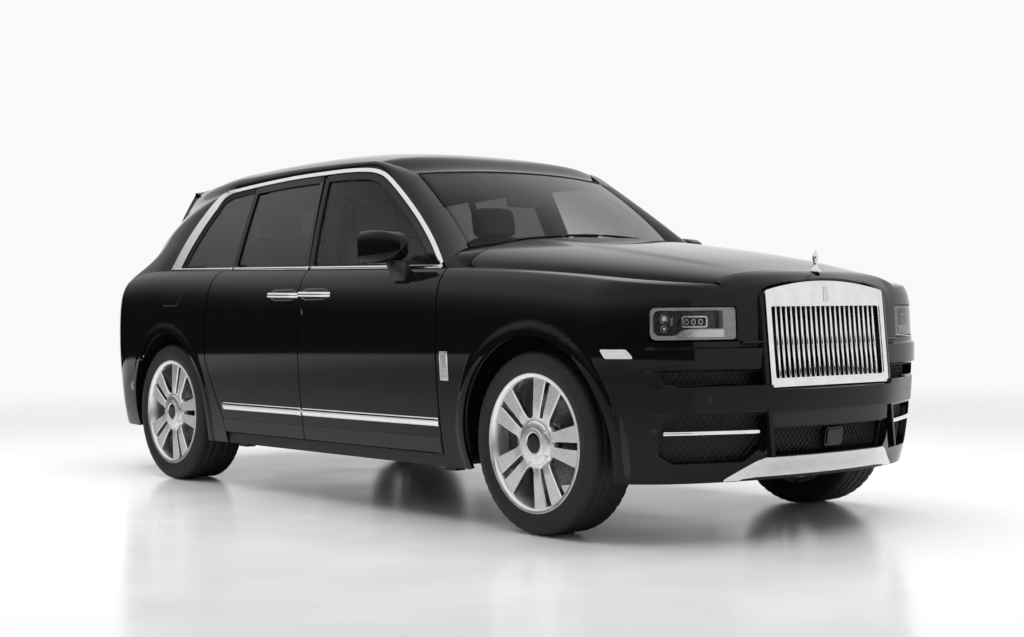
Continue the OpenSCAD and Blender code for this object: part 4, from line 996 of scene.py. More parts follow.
bumper_z = np.unique(np.concatenate([lin(SILL, 524, 9), lin(526, 540, 2.4), lin(548, 640, 9), lin(643, 657, 2.4),
                                     lin(663, 700, 9), lin(703, 715, 2.4), lin(722, 792, 9), lin(795, 808, 2.4),
                                     [817, BUMPER_TOP]]))
panel("front_bumper_skin", bumper_surf, np.linspace(-1, 1, 201), bumper_z, "body_shell",
      ["front_bumper"], both=False, cut=bumper_cut, thick=30)
panel("windscreen_glass", screen_point, np.linspace(-0.985, 0.985, 50), np.linspace(0.01, 0.9946, 30), "body_shell",
      ["windscreen"], mat=SCREEN, both=False, thick=6, edge=0, centre=(0, 0, 1000))

# tail
tail_z = np.concatenate([lin(SPLIT + SHUT / 2, 1222, 10), lin(1222, 1690, 18)[1:]])
tail_w = np.linspace(-1, 1, 80)
tail_rows = [tail_edge(z, tail_w) for z in tail_z]
for x, f in ((ROOF_BACK - 225, 1.0), (ROOF_BACK - 170, 0.0), (ROOF_BACK - 120, 0.0), (ROOF_BACK - 60, 0.0),
             (ROOF_BACK - SHUT, 0.0)):
    droop = np.interp(x, [ROOF_BACK - 225, ROOF_BACK - 60], [24.0, 0.0]) * tail_w ** 6
    tail_rows.append(xyz(x + f * 50 * tail_w ** 2, (ROOF_EDGE * roof_half(x) - SHUT - 1) * tail_w,
                         roof_z(x, ROOF_EDGE * tail_w) - 1 - droop))
tail_rows = np.array(tail_rows)
REAR_WINDOW = np.array([[-560, -292], [560, -292], [586, -250], [500, 230], [440, 288], [-440, 288], [-500, 230],
                        [-586, -250]], float)
TAIL_MID = tail_edge(1456.0, np.array(0.0))


def window_plane(p):
    """Place of a point in the plane of the rear window: across and up the slope."""
    a = math.radians(44.6)
    return p[..., 1], (p[..., 0] - TAIL_MID[0]) * math.sin(a) + (p[..., 2] - TAIL_MID[2]) * math.cos(a)


def tail_surf(w, r):
    lo = np.clip(np.floor(r).astype(int), 0, len(tail_rows) - 2)
    f = (r - lo)[..., None]
    c = np.clip((w + 1) / 2 * 79, 0, 79)
    cl = np.clip(np.floor(c).astype(int), 0, 78)
    g = (c - cl)[..., None]
    a = tail_rows[lo, cl] * (1 - g) + tail_rows[lo, cl + 1] * g
    b = tail_rows[lo + 1, cl] * (1 - g) + tail_rows[lo + 1, cl + 1] * g
    return a * (1 - f) + b * f


def tail_cut(p):
    y, s = window_plane(p)
    return np.where(p[..., 2] < 1700, poly_sd(y, s, REAR_WINDOW), -50.0)


panel("tailgate_upper_skin", tail_surf, np.linspace(-1, 1, 100), np.linspace(0, len(tail_rows) - 1, 80), "tailgate_top",
      ["tailgate_upper"], both=False, cut=tail_cut, thick=28, centre=(-1700, 0, 1100))
panel("rear_window_glass", lambda w, z: tail_edge(z, w) + np.array([8.5, 0, -8.5]), np.linspace(-0.93, 0.93, 40),
      np.linspace(1215, 1680, 30), "tailgate_top", ["tailgate_glass"], mat=PRIVACY, both=False, thick=5, edge=0,
      centre=(-1700, 0, 1100))
T_EDGE = float(rear_angle(618))


def tail_low_surf(a, z):
    zz = np.minimum(z, SPLIT - SHUT / 2 - 12 * (a / T_EDGE) ** 4)
    p = body(u_rear(np.abs(a)), zz)
    p[..., 1] *= np.sign(a)
    return p


panel("tailgate_lower_skin", tail_low_surf, np.linspace(-T_EDGE, T_EDGE, 80), lin(TAIL_TOP + SHUT + 1, SPLIT - 2.5, 14),
      "tailgate_base", ["tailgate_lower"], both=False, thick=34)


def rear_bumper_surf(s, z):
    y = np.interp(np.abs(s), [0, 0.7, 1], [0, RC_H, RC_H])
    side = mix(RC_X, RC_X + 165, (np.abs(s) - 0.7) / 0.3)
    u = np.where(np.abs(s) < 0.7, u_rear(rear_angle(np.minimum(y, RC_H))), side)
    x = plan(u)[0]
    p = body(u, z, -flare(x, z))
    p[..., 1] *= np.sign(s)
    return p


EXHAUST = [[430, 345], [660, 345], [690, 380], [660, 425], [430, 425], [405, 380]]
panel("rear_bumper_skin", rear_bumper_surf, np.linspace(-1, 1, 180), lin(290, TAIL_TOP, 12), "body_shell",
      ["rear_bumper"], both=False, thick=34, cut=lambda p: np.maximum(arch(p, XR), np.where(
          p[..., 0] < -XN + 290, poly_sd(np.abs(p[..., 1]), p[..., 2], EXHAUST), -50.0)))


# grille
LEAN = math.radians(4.85)
VANES, GRILLE_OPEN = 21, 345.0


def on_grille(y, s, d):
    """Place on the leaning grille: across, up its slope and behind its face."""
    c, n = math.cos(LEAN), math.sin(LEAN)
    return xyz(XN - 36 - d * c - s * n, y, GRILLE_LOW - d * n + s * c)


def grille_window(half, low, high, r):
    return rounded([[0, low], [half, low], [half, high], [0, high], [-half, high], [-half, low]], [0, r, r, 0, r, r], 6)


tall = GRILLE_CORNER - GRILLE_LOW
arch_top = [[y, tall + 42 * (1 - (y / GRILLE_HALF) ** 2)] for y in np.linspace(GRILLE_HALF, -GRILLE_HALF, 31)]
outer = ring_of(rounded([[0, 0], [GRILLE_HALF, 0]] + arch_top + [[-GRILLE_HALF, 0]],
                        [0, 12, 34] + [0] * 29 + [34, 12], 8), 300)
hole = grille_window(GRILLE_OPEN, 38, 334, 9)
hole_r, lip_r = ring_of(hole, 300), ring_of(grille_window(GRILLE_OPEN + 8, 30, 342, 13), 300)
Kit().band(on_grille, [(outer, 60), (outer, 0), (lip_r, 0), (lip_r, 3.5), (hole_r, 3.5), (hole_r, 60)]).make(
    "grille_frame", CHROME, nodes=["grille"], edge=2.4, segments=3)
half_vane = [(3.2, 6.2), (5.6, 8.5), (6.6, 12.5), (6.2, 18), (4.5, 44)]
vane = [(0, 5.5)] + [(-a, d) for a, d in half_vane] + half_vane[::-1]
k = Kit()
for y in np.linspace(-GRILLE_OPEN, GRILLE_OPEN, VANES + 2)[1:-1]:
    k.tube([on_grille(np.array([y + a, y + a]), np.array([36.0, 336.0]), d) for a, d in vane])
k.make("grille_vanes", CHROME)
Kit().slab(on_grille, hole * [1.01, 1], 54, 59).make("grille_backing", DARK)
Kit().slab(on_grille, block(-17, 17, 352, 420, 3), -1.6, 2).make("grille_blank_plate", SATIN, edge=1)

# headlamps
lamp_a = np.linspace(LAMP_A, 66, 90)
lamp_line = body(u_front(lamp_a), 900.0)
lamp_s = np.concatenate([[0], np.cumsum(np.linalg.norm(np.diff(lamp_line, axis=0), axis=1))])
LAMP_END = float(np.interp(-LAMP_BACK, -lamp_line[:, 0], lamp_s)) - 4


def on_lamp(q, z, d):
    """Place in the left headlamp: q runs from the grille outwards."""
    return body(u_front(np.interp(q, lamp_s, lamp_a)), np.asarray(z, float), np.asarray(d, float))


def lamp_sheet(poly, depth, step=14):
    flat, faces = filled(poly, step)
    return on_lamp(flat[:, 0], flat[:, 1], depth), faces


lens = block(3, LAMP_END, 835, 965, [16, 30, 26, 14], 8)
inner = rounded([[60, 880], [205, 880], [238, 874], [264, 852], [LAMP_END - 14, 852], [LAMP_END - 14, 953], [60, 953]],
                [8, 12, 12, 12, 30, 26, 8], 8)
lens_r, inner_r = (ring_of(densify(q, 12), 160) for q in (lens, inner))
k = Kit().band(on_lamp, [(lens_r, 66), (lens_r, 7), (inner_r, 10), (inner_r, 44)])
k.add(*lamp_sheet(lens, 46), 1)
# lower wedge
wedge = rounded([[58, 845], [276, 845], [254, 858], [230, 871], [200, 876], [58, 876]], [5, 3, 8, 8, 8, 5])
k.add(*lamp_sheet(wedge, 6.0, 7), 2)
# framed projector
frame_out, frame_in = ring_of(block(128, 240, 884, 931, 10, 6), 80), ring_of(block(134, 234, 890, 925, 7, 6), 80)
k.band(on_lamp, [(frame_out, 40), (frame_out, 15), (frame_in, 15), (frame_in, 40)], 2)
for q0 in (152, 184, 216):
    for r, d, s in ((11, 30, 2), (8, 29, 1)):
        k.slab(on_lamp, oval(q0, 907, r, r, 24), d, 44, s)
# oval bezel with two round lamps at the outer end
oc = LAMP_END - 62
bezel, opening = (oval(oc, 903, r, r + 1, 60, 2.3) for r in (45, 41))
k.band(on_lamp, [(bezel, 44), (bezel, 20), (opening, 20), (opening, 44)], 1)
for zc, rc in ((921, 20), (880, 15)):
    for r, d, s in ((rc, 34, 2), (rc - 3, 33, 1), (rc - 9, 28, 3)):
        k.slab(on_lamp, oval(oc, zc, r, r), d, 46, s)
k.slab(on_lamp, block(272, 284, 890, 926, 4), 36, 46, 2)
k.mirror().make("headlamp_units", [LAMP_GREY, LAMP_DARK, SATIN, LAMP_WHITE], nodes=["headlamps"], edge=1.2, angle=35)
Kit().add(*lamp_sheet(lens, 3.0, 12)).mirror().make("headlamp_lenses", CLEAR)


# bumper dressing
def plate_place(y, z):
    """Upright panel under the grille, as far out as the nose is at mid height."""
    p = nose_point(y, np.full(np.shape(y), 560.0), -1.5)
    return xyz(p[..., 0], p[..., 1], z)


def post_place(y, z):
    return xyz(XN - 40 - (z - GRILLE_LOW) * math.tan(LEAN) - (y - 386) ** 2 * 0.016, y, z)


sheet("plate_panel", block(-380, 380, 474, 629, 4), plate_place, 34, GLOSS, step=11, edge=2.0)
sheet("nose_posts", rounded([[386, 352], [414, 352], [414, 980], [400, 1012], [386, 1024]], [2, 6, 6, 6, 4]),
      post_place, 30, PAINT, step=8, edge=3.0, both=True)
half_lip = [[378, 346], [420, 336], [470, 308], [560, 258], [545, 253], [400, 264]]
sheet("skid_lip", rounded([[-378, 346]] + half_lip + [[-y, z] for y, z in half_lip[:0:-1]], 5),
      lambda y, z: nose_point(y, z, -7), 12, POLISHED, step=11, edge=2.0)
ys = np.linspace(424, 806, 40)
strip, behind = (nose_point(ys, np.full(40, 457.0), d) for d in (2.0, 12.0))
Kit().tube(swept(strip, unit(strip - behind), [(-9, -8), (-9.5, 2), (-6, 6), (0, 7.5), (6, 6), (9.5, 2), (9, -8)])
           ).mirror().make("bumper_bright_strips", CHROME)
CELL, RISE = 26, 9.0


def lattice(kit, y0, y1, z0, z1, depth):
    """Zigzag bars across an intake."""
    n = int((y1 - y0) / CELL) * 2 + 1
    ys = np.linspace(y0, y1, n)
    for r in range(int((z1 - z0) / (2 * RISE)) + 2):
        zs = z0 + 2 * RISE * r + RISE * 0.92 * np.where((np.arange(n) + r) % 2, 1, -1)
        p, front = (nose_point(ys, np.clip(zs, z0 - 6, z1 + 6), d) for d in (depth, depth - 8))
        kit.tube(swept(p, unit(front - p), [(-2.2, -4), (-2.2, 4), (2.2, 4), (2.2, -4)]))


def backing(y, z):
    return nose_point(y, z, 62)


k = Kit()
lattice(k, 414, 812, 326, 530, 40)
lattice(k, 414, 818, 650, 706, 40)
k.mirror()
lattice(k, -392, 392, 346, 470, 44)
k.make("intake_lattices", DARK, nodes=["intake_meshes"], smooth=False)
k = Kit()
for y1, z0, z1 in ((822, 318, 536), (824, 644, 712)):
    k.grid(backing, np.linspace(408, y1, 24), np.linspace(z0, z1, 5))
k.mirror().grid(backing, np.linspace(-436, 436, 40), np.linspace(342, 476, 5)).make("intake_backing", DARK)
k = Kit().slab(nose_point, block(-58, 58, 376, 456, 16, 7), 16, 50)
k.slab(nose_point, block(-50, 50, 384, 448, 12, 7), 10, 20)
for s in (-1, 1):
    k.slab(nose_point, block(s * 352, s * 384, 350, 468, 4), 18, 50)
k.make("front_sensor", GLOSS, edge=2.5, segments=3)
k = Kit()
for y, z, off in ((640, 590, -11), (835, 470, 0)):
    k.slab(nose_point, oval(y, z, 11, 11, 24), off - 1.2, off + 6)
k.mirror().make("parking_sensors", GLOSS, edge=0.6)
MARK_U = np.linspace(FC_X - 300, FC_X + 900, 400)
MARK_X = plan(MARK_U)[0]
marker = rounded([[XF + x, z] for x, z in ((456, 761), (562, 761), (559, 773), (540, 799), (434, 799), (440, 785))], 6)
sheet("side_markers", marker, lambda x, z: body(np.interp(x, MARK_X, MARK_U), z, -3.5), 7, LAMP_WHITE, step=6, edge=1.6,
      both=True)

# ornament: a plain turned spire
t = np.linspace(0, 2 * np.pi, 40, endpoint=False)
spire = spline([(24, 0), (24, 6), (20, 9), (15, 12), (11.5, 20), (9, 36), (12.8, 58), (10, 76), (4.5, 89),
                (0.6, 92)], 40)
k = Kit().tube([xyz(XF + 757 + r * np.cos(t), r * np.sin(t), 1112.5 + h) for r, h in spire], joined=True, closed=False)
k.make("ornament_spire", CHROME, nodes=["ornament"])

# wheels, tyres and brakes
FRONT_MID, REAR_MID = 832.5, 817.5
SPOKES, TYRE_STEPS = 5, 204


def polar(c, r, degrees):
    a = math.radians(degrees)
    return c[0] + r * math.cos(a), c[1], c[2] + r * math.sin(a)


def alloy(place, ride, c, h, out):
    """Rim, paired spokes, hub with its blank cap, and nuts; h is half the tyre's width."""
    k = Kit()
    k.spin([(266, -h + 22), (291, -h + 14), (292, -h + 26), (279, -h + 40), (279, h - 44), (291, h - 27), (299, h - 15),
            (301, h - 10.5), (299, h - 8.4), (287, h - 9.6), (281, h - 13.5), (276, h - 24), (271, h - 38),
            (266, h - 60), (262, h - 92), (262, -h + 44)], c, out, 128, closed=True)
    r = np.linspace(88, 282, 24)
    t_in = 7 + 8.5 * r / 292 + 3.5 * np.clip((r - 262) / 14, 0, 1) ** 2
    t_out = (41 + 60 * (r - 60) / 232 + 16 * np.clip((r - 246) / 36, 0, 1) ** 2
             + 10 * np.clip((124 - r) / 30, 0, 1) ** 2)
    face = h - 21 - 3.5 * ease((150 - r) / 60)
    for i in range(SPOKES):
        a = math.radians(360 / SPOKES * i)
        for s in (1, -1):
            def at(t, y):
                return xyz(c[0] + r * math.cos(a) - s * t * math.sin(a), c[1] + out * y,
                           c[2] + r * math.sin(a) + s * t * math.cos(a))
            k.tube([at(t_in + 5, h - 56), at(t_in, face - 5), at(t_in + 3.5, face), at(t_out - 4, face),
                    at(t_out, face - 6), at(t_out - 9, h - 56)])
    k.spin([(70, h - 60), (116, h - 57), (114, h - 34), (110, h - 27), (103, h - 23.6), (96, h - 23), (95, h - 19.5),
            (90, h - 17), (76, h - 14.5), (63, h - 13.5), (62, h - 11), (57, h - 9.6), (47, h - 9.8), (44.5, h - 12),
            (43, h - 14)], c, out, 96)
    k.spin([(44, h - 13.4), (41, h - 12.6), (30, h - 12.0), (14, h - 11.8), (0.2, h - 11.8)], c, out, 64, slot=1)
    for i in range(SPOKES):
        k.spin([(11, h - 60), (11, h - 17.6), (9, h - 15.8), (0.2, h - 15.6)], polar(c, 88, 72 * i + 36), out, 6)
    k.make(f"wheel_{place}_alloy", [POLISHED, GLOSS], ride, [f"wheel_{place}"], edge=1.6, angle=38)


def tyre(place, ride, c, h, out):
    """Carcass with two grooves a side and cut shoulders and ribs."""
    half = [(279, h - 42), (292.6, h - 27), (297, h - 17), (303, h - 9), (306, h - 7.5), (309, h - 6.5), (318, h - 3),
            (330, h - 0.6), (338, h), (341, h + 0.9), (344, h), (352, h - 1.4), (360, h - 4)]
    half += [(360 + 34 * math.sin(q), h - 38 + 34 * math.cos(q)) for q in np.radians([14, 28, 42, 55, 67, 78])]
    edge_y = h - 40
    for y in np.linspace(edge_y, 0, 19)[:-1]:
        dip = sum(max(0.0, 1 - abs(y - g * edge_y) / 7.5) for g in (0.30, 0.72))
        half.append((TYRE_R - 0.5 * (y / edge_y) ** 2 - 7.5 * min(1.0, 1.6 * dip), y))
    prof = np.array(half + [(TYRE_R, 0.0)] + [(r, -y) for r, y in reversed(half)])
    rr, yy = prof[:, :1], prof[:, 1:]
    step = np.arange(TYRE_STEPS)[None]
    shoulder = (np.abs(yy) > 0.80 * edge_y) & (rr > 371)
    rib = (np.abs(yy) < 0.64 * edge_y) & (np.abs(yy) > 0.38 * edge_y)
    rad = rr - 4.0 * (shoulder & (step % 4 == 0)) - 3.5 * (rib & ((step + 2) % 6 == 0))
    th = 2 * np.pi * step / TYRE_STEPS + 0.02 * np.abs(yy) / h * np.sign(yy) * (rr > 371)
    rows = xyz(c[0] + rad * np.cos(th), c[1] + out * yy, c[2] + rad * np.sin(th))
    Kit().tube(list(rows), joined=True).make(f"tyre_{place}_carcass", RUBBER, ride, [f"tyre_{place}"])


def brake(place, ride, c, out, front):
    """Disc on the wheel whose drill holes are dark dots of painted shade, not cut holes, and a caliper that stays with
    the upright.
    """
    k = Kit()
    k.spin([(188, -18), (190, -20), (190, -46), (188, -48), (84, -48), (84, -18)], c, out, 96, closed=True)
    # drill holes: small dark discs on the face, painted shade standing in for open holes
    for a in range(0, 360, 15):
        for r in (115, 140, 165):
            k.spin([(4, -18.6), (4, -17.6), (0.2, -17.4)], polar(c, r, a + math.degrees(r * 0.004)), out, 8, slot=1)
    k.spin([(84, -46), (84, 8), (80, 12), (60, 14)], c, out, 48)
    k.make(f"brake_disc_{place}", [IRON, DARK], ride, edge=0.8)
    k = Kit()
    a0, a1 = (150, 210) if front else (-30, 30)
    for r0, r1, trim, h0, h1 in ((124, 222, 0, -10, 22), (124, 222, 0, -56, -84), (198, 222, 4, -58, -8)):
        t = np.radians(np.linspace(a0 + trim, a1 - trim, 14))
        k.tube([xyz(c[0] + r * np.cos(t), c[1] + out * h, c[2] + r * np.sin(t))
                for r, h in ((r0, h0), (r1, h0), (r1, h1), (r0, h1))])
    upright = "steer_l" if out > 0 else "steer_r"
    k.make(f"brake_caliper_{place}", SATIN, upright if front else "body_shell", edge=4)


for end, cx, mid, width in (("front", XF, FRONT_MID, 255), ("rear", XR, REAR_MID, 285)):
    for side, out in (("left", 1), ("right", -1)):
        place, ride = f"{end}_{side}", f"road_wheel_{end[0]}{side[0]}"
        c = (cx, out * mid, TYRE_R)
        alloy(place, ride, c, width / 2, out)
        tyre(place, ride, c, width / 2, out)
        brake(place, ride, c, out, end == "front")


# side trim
def patch(name, poly, out, thick, mat, ride, step=12, edge=1.5):
    """Sheet on the left flank, and its right-hand twin."""
    twin(sheet(name, poly, lambda x, z: side_point(x, z, out), thick, mat, ride, step, edge), ride)


trim_path = np.vstack([[mix(DLO[0], DLO[1], 0.17)], DLO[1:]])
trim_line = spline(trim_path, 200)
s_key = [float(np.argmin(np.linalg.norm(trim_line - q, axis=1))) for q in trim_path]
wide = np.interp(np.arange(200), s_key, [21.0] * 11 + [34, 72, 100, 112])
nrm = inset(trim_line, 1.0, closed=False) - trim_line


def above_waist(line):
    """Keeps a line in the window plane over the waist."""
    return np.stack([line[:, 0], np.maximum(line[:, 1], shoulder_z(line[:, 0]) + 3)], 1)


t_a, t_b = inset(trim_line, 0.45, closed=False), above_waist(trim_line + nrm * wide[:, None])
proud = 3.5 + 5 * np.exp(-((t_a[:, 0] - XR - 375) / 60) ** 2)
k = Kit().tube([on_side(*t_a.T, 12.4), on_side(*t_a.T, -proud), on_side(*((t_a + t_b) / 2).T, -0.9 - (proud + 3.5) / 2),
                on_side(*t_b.T, -3.5), on_side(*t_b.T, 12.4)])
k.mirror().make("window_surround", CHROME, nodes=["window_trim"], edge=1.5)
rear = t_b[:, 0] < C_SEAM - 14
r_a, r_b = (above_waist(trim_line + nrm * (wide + d)[:, None])[rear] for d in (-6.0, 30.0))
Kit().tube([on_side(*r_a.T, 13.0), on_side(*r_a.T, 6.5), on_side(*r_b.T, 9.0), on_side(*r_b.T, 13.0)]
           ).mirror().make("quarter_window_seals", RUBBER)


def waist_bar(x0, x1):
    x = np.linspace(x0, x1, 40)
    return Kit().tube(swept(on_side(x, shoulder_z(x) + 9, 0), (0, 1, 0.15),
                            [(-8, -6), (-8, 3), (-5, 5.5), (5, 5.5), (8, 3), (8, -6)]))


def handle(x0, x1):
    x = np.linspace(x0, x1, 48)
    ends = np.abs(np.linspace(-1, 1, 48))
    p = side_point(x, 1058 - 0.02 * (x - x0), 30 * (1 - ease((ends - 0.74) / 0.26)) - 4)
    return Kit().tube(swept(p, (0, 1, 0.1), [(0, 8), (-9, 6.5), (-13.5, 1), (-12, -5), (0, -7), (12, -5), (13.5, 1),
                                             (9, 6.5)]))


def low_strip(x0, x1):
    p = side_point(np.linspace(x0, x1, 60), np.full(60, 456.0), 0)
    return Kit().tube(swept(p, (0, 1, -0.15), [(-21, -5), (-20, 5), (-15, 8), (0, 9.5), (15, 8), (20, 5), (21, -5)]))


def door_trim(which, x0, x1, bar, strip, grip, scoop, clad):
    """Bright bars, handle and lower cladding of a door."""
    ride = f"{which}_door_l"
    pair(waist_bar(*bar), f"{which}_waist_bar_left", CHROME, ride)
    pair(handle(*grip), f"{which}_handle_left", CHROME, ride)
    patch(f"{which}_handle_scoop_left", oval(scoop, 1056, 132, 30, 60, 3.0), 0.8, 3, GLOSS, ride, step=9, edge=0)
    pair(low_strip(*strip), f"{which}_low_strip_left", CHROME, ride)
    patch(f"{which}_cladding_left", clad, 3.5, 8, DARK, ride, step=24, edge=2.5)
    patch(f"{which}_door_card_left", block(x0, x1, 372, 1120, 40), -92.5, 6, LEATHER, ride, step=40, edge=3)
    p = side_point(np.linspace(x0 + 90, x1 - 110, 24), np.full(24, 800.0), -100)
    rest = Kit().tube(swept(p, (0, 1, 0), [(-26, 4), (-22, -32), (-8, -44), (14, -42), (26, -28), (28, 4)]))
    pair(rest, f"{which}_armrest_left", TRIM_DARK, ride, edge=5)


door_trim("front", B_X + 70, DOOR_F - 120, (B_X + 5, DOOR_F - 42), (B_X + 5, DOOR_F - 9), (B_X + 8, B_X + 292),
          B_X + 150, [[B_X + 4, 314], [DOOR_F - 7, 314], [DOOR_F - 7, 386], [B_X + 4, 386]])
door_trim("rear", XR + 690, B_X - 70, (C_SEAM + 6, B_X - 5), (XR + 670, B_X - 5), (B_X - 292, B_X - 8), B_X - 150,
          [[float(door_edge(314)) + 6, 314], [B_X - 4, 314], [B_X - 4, 386], [float(door_edge(386)) + 6, 386]])
waist_bar(XR - 72, C_SEAM - 6).mirror().make("quarter_waist_bars", CHROME)
patch("lock_left", oval(B_X + 36, 967, 11, 11, 28), 2.0, 4, CHROME, "front_door_l", step=4, edge=0.8)
patch("fender_plate_left", block(1186, 1246, 648, 780, 7), 4.5, 8, CHROME, "body_shell", step=10, edge=2.5)
patch("fender_plate_middle_left", block(1196, 1236, 660, 768, 4), 5.8, 4, SATIN, "body_shell", step=10, edge=0.8)
flap = densify(rounded([[-1530, 1010], [-1345, 1010], [-1240, 1142], [-1405, 1142]], 30, 10), 10)
slim = flap.mean(0) + (flap - flap.mean(0)) * np.array([0.972, mix(1.0, 0.972, 2.4)])
Kit().tube([side_point(*q.T, o) * np.array([1, -1, 1]) for q, o in ((flap, 0.7), (flap, -3), (slim, -3), (slim, 0.7))],
           joined=True).make("fuel_flap_seam", DARK)

# mirrors
MIRROR_BACK, MIRROR_Y, MIRROR_Z, MIRROR_LONG = 694.0, 1013.0, 1271.0, 216.0


def mirror_pod():
    """Door mirror: ribbed housing, glass in its rear face and a neck down to the door."""
    t = np.linspace(0, 2 * np.pi, 64, endpoint=False)
    sq_y, sq_z = (np.sign(a) * np.abs(a) ** 0.42 for a in (np.cos(t), np.sin(t)))
    rib = 1 + sum(0.02 * np.exp(-((sq_z - at) / 0.06) ** 2) for at in (0.42, 0.12))
    loops = []
    for back, hy, hz, cy, cz in ((4, 66, 74, 1013, 1271), (-3, 69, 78, 1013, 1271), (4, 70, 80, 1012.5, 1271),
                                 (60, 70, 80, 1012, 1271), (110, 68, 77, 1010, 1271), (150, 62, 70, 1004, 1271),
                                 (182, 52, 58, 996, 1270), (202, 37, 42, 988, 1270), (213, 18, 22, 982, 1269),
                                 (MIRROR_LONG, 3, 4, 980, 1269)):
        slant = 26 * (sq_y * hy / 70) * (1 - back / MIRROR_LONG)
        loops.append(xyz(MIRROR_BACK + back - slant, cy + hy * sq_y * rib, cz + hz * sq_z))
    k = Kit().tube(loops, joined=True, closed=False)
    face = xyz(MIRROR_BACK + 5 - 24 * sq_y, MIRROR_Y + 63 * sq_y, MIRROR_Z + 71 * sq_z)
    k.plate(face, face + np.array([3, 0, 0]), slot=1)
    x = MIRROR_BACK + np.array([106, 106, 206, 206])
    foot, neck, top = (xyz(x + dx, [y + 60, y, y, y + 60], z) for dx, y, z in
                       ((0, 926, 1106), (-4, 930, 1150), (-14, 950, 1204)))
    foot[:, 1] = np.maximum(foot[:, 1], side_point(foot[:, 0], foot[:, 2])[:, 1] + 0.6)
    return k.tube(list(np.swapaxes(np.array([foot, neck, top]), 0, 1)), slot=2)


pair(mirror_pod(), "mirror_housing_left", [PAINT, CHROME, DARK], "front_door_l", nodes=["mirror_left"])


# painted corners between the screen pillars, the bonnet and the fenders
def scuttle_corner(s, t):
    a = rail_surf(0 * t, t)
    w = mix(1.0, 0.87, ease((t - 0.45) / 0.55))
    rear = mix(XF - 565, FENDER_X[0] + 6, w * w) - 7
    b = xyz(rear, w * (bonnet_half(rear) - SHUT / 2), bonnet_z(rear, w))
    f = fender_surf(np.full_like(t, FENDER_U[0]), np.full_like(t, 1163.0))
    b = mix(f, b, ease(t / 0.45)[..., None])
    b[..., 0] = np.minimum(b[..., 0], np.where(t < 0.45, FENDER_X[0] - 4, b[..., 0]))
    return mix(a + np.array([-3.0, -2.0, -3.0]), b, s[..., None])


panel("scuttle_corners", scuttle_corner, np.linspace(0, 1, 14), np.linspace(0.02, 1, 28), "body_shell", thick=10,
      edge=1.5, centre=(900, 0, 900))

# cabin
PAD_SQUARE, PAD_ROWS, PAD_FILL = 0.34, 60, 0.7
SEAM_DEEP, SEAM_WIDE = 6.0, 5.0


def cushion(name, centre, half, tilt, seams=(), cross=(), bolster=0.0):
    """Crowned leather pad with its sides drawn in and sewn channels; tilt leans it back about Y."""
    u, v = np.meshgrid(np.linspace(0, 2 * np.pi, int(PAD_ROWS * 1.25), endpoint=False),
                       np.linspace(-np.pi / 2, np.pi / 2, PAD_ROWS))

    def power(a, e):
        return np.sign(a) * np.abs(a) ** e

    rad = np.abs(np.cos(v)) ** (PAD_SQUARE * 0.8)
    x, y, z = power(np.cos(u), PAD_SQUARE) * rad, power(np.sin(v), 0.55), power(np.sin(u), PAD_SQUARE) * rad
    waist = 1 - 0.035 * (1 - np.abs(x) ** 3) * (1 - np.abs(z) ** 2) * (np.abs(y) > 0.6) * np.abs(y)
    crown = 1 + 0.14 * np.clip(1 - x * x, 0, 1) * np.clip(1 - y * y, 0, 1)
    px, py, pz = x * half[0], y * half[1] * waist, z * half[2] * np.where(z > 0, crown, 1)
    top = np.clip(z, 0, 1)
    pz += bolster * top * ease((np.abs(y) - 0.62) / 0.3)
    for along, lines in ((py, seams), (px, cross)):
        for s in lines:
            pz -= SEAM_DEEP * top * np.exp(-((along - s) / SEAM_WIDE) ** 2)
    edge = 1 - 0.012 * np.exp(-((np.abs(z) - 0.52) / 0.05) ** 2)
    px, py = px * edge, py * edge
    a = math.radians(tilt)
    verts = xyz(centre[0] + px * math.cos(a) - pz * math.sin(a), centre[1] + py,
                centre[2] + px * math.sin(a) + pz * math.cos(a)).reshape(-1, 3)
    o = add_mesh(name, verts, face_out(verts, grid_faces(*u.shape, loop=True), centre), LEATHER)
    o.modifiers.new("weld", "WELD").merge_threshold = 0.0002
    seat(o, "body_shell")


def leaning(x, z, length, degrees):
    """Middle of a backrest that leans back from its foot."""
    return x - length * math.sin(math.radians(degrees)), z + length * math.cos(math.radians(degrees))


def headrest_posts(kit, x, y, z0, z1):
    for s in (-60, 60):
        kit.tube([xyz(x + 7 * np.cos(q) + np.array([0.0, -6.0]), y + s + 7 * np.sin(q), np.array([z0, z1]))
                  for q in np.linspace(0, 2 * np.pi, 14, endpoint=False)])


SEAT_X, REAR_X, CUSH = XF - 1830, XR + 570, 830.0
k = Kit()
for side, y in (("left", 420), ("right", -420)):
    cushion(f"front_cushion_{side}", (SEAT_X + 262, y, CUSH - 58), (268, 272, 58), -2, (-120, 120), (-40, 110), 14)
    bx, bz = leaning(SEAT_X + 80, CUSH - 15, 300, 18)
    cushion(f"front_backrest_{side}", (bx, y, bz), (292, 262, 52), -72, (-115, 115), (-120, 0, 120), 16)
    cushion(f"front_headrest_{side}", (SEAT_X - 140, y, CUSH + 636), (84, 138, 40), -80, (), (-30,))
    k.slab(xyz, block(SEAT_X + 70, SEAT_X + 430, y - 215, y + 215, 30), CUSH - 114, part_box("front_seats")[0][2] / MM)
    headrest_posts(k, SEAT_X - 132, y, CUSH + 480, CUSH + 600)
k.make("front_seat_frames", TRIM_DARK, nodes=["front_seats"], edge=3)
k = Kit().slab(xyz, block(REAR_X + 60, REAR_X + 430, -640, 640, 30), CUSH - 84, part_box("rear_seat")[0][2] / MM)
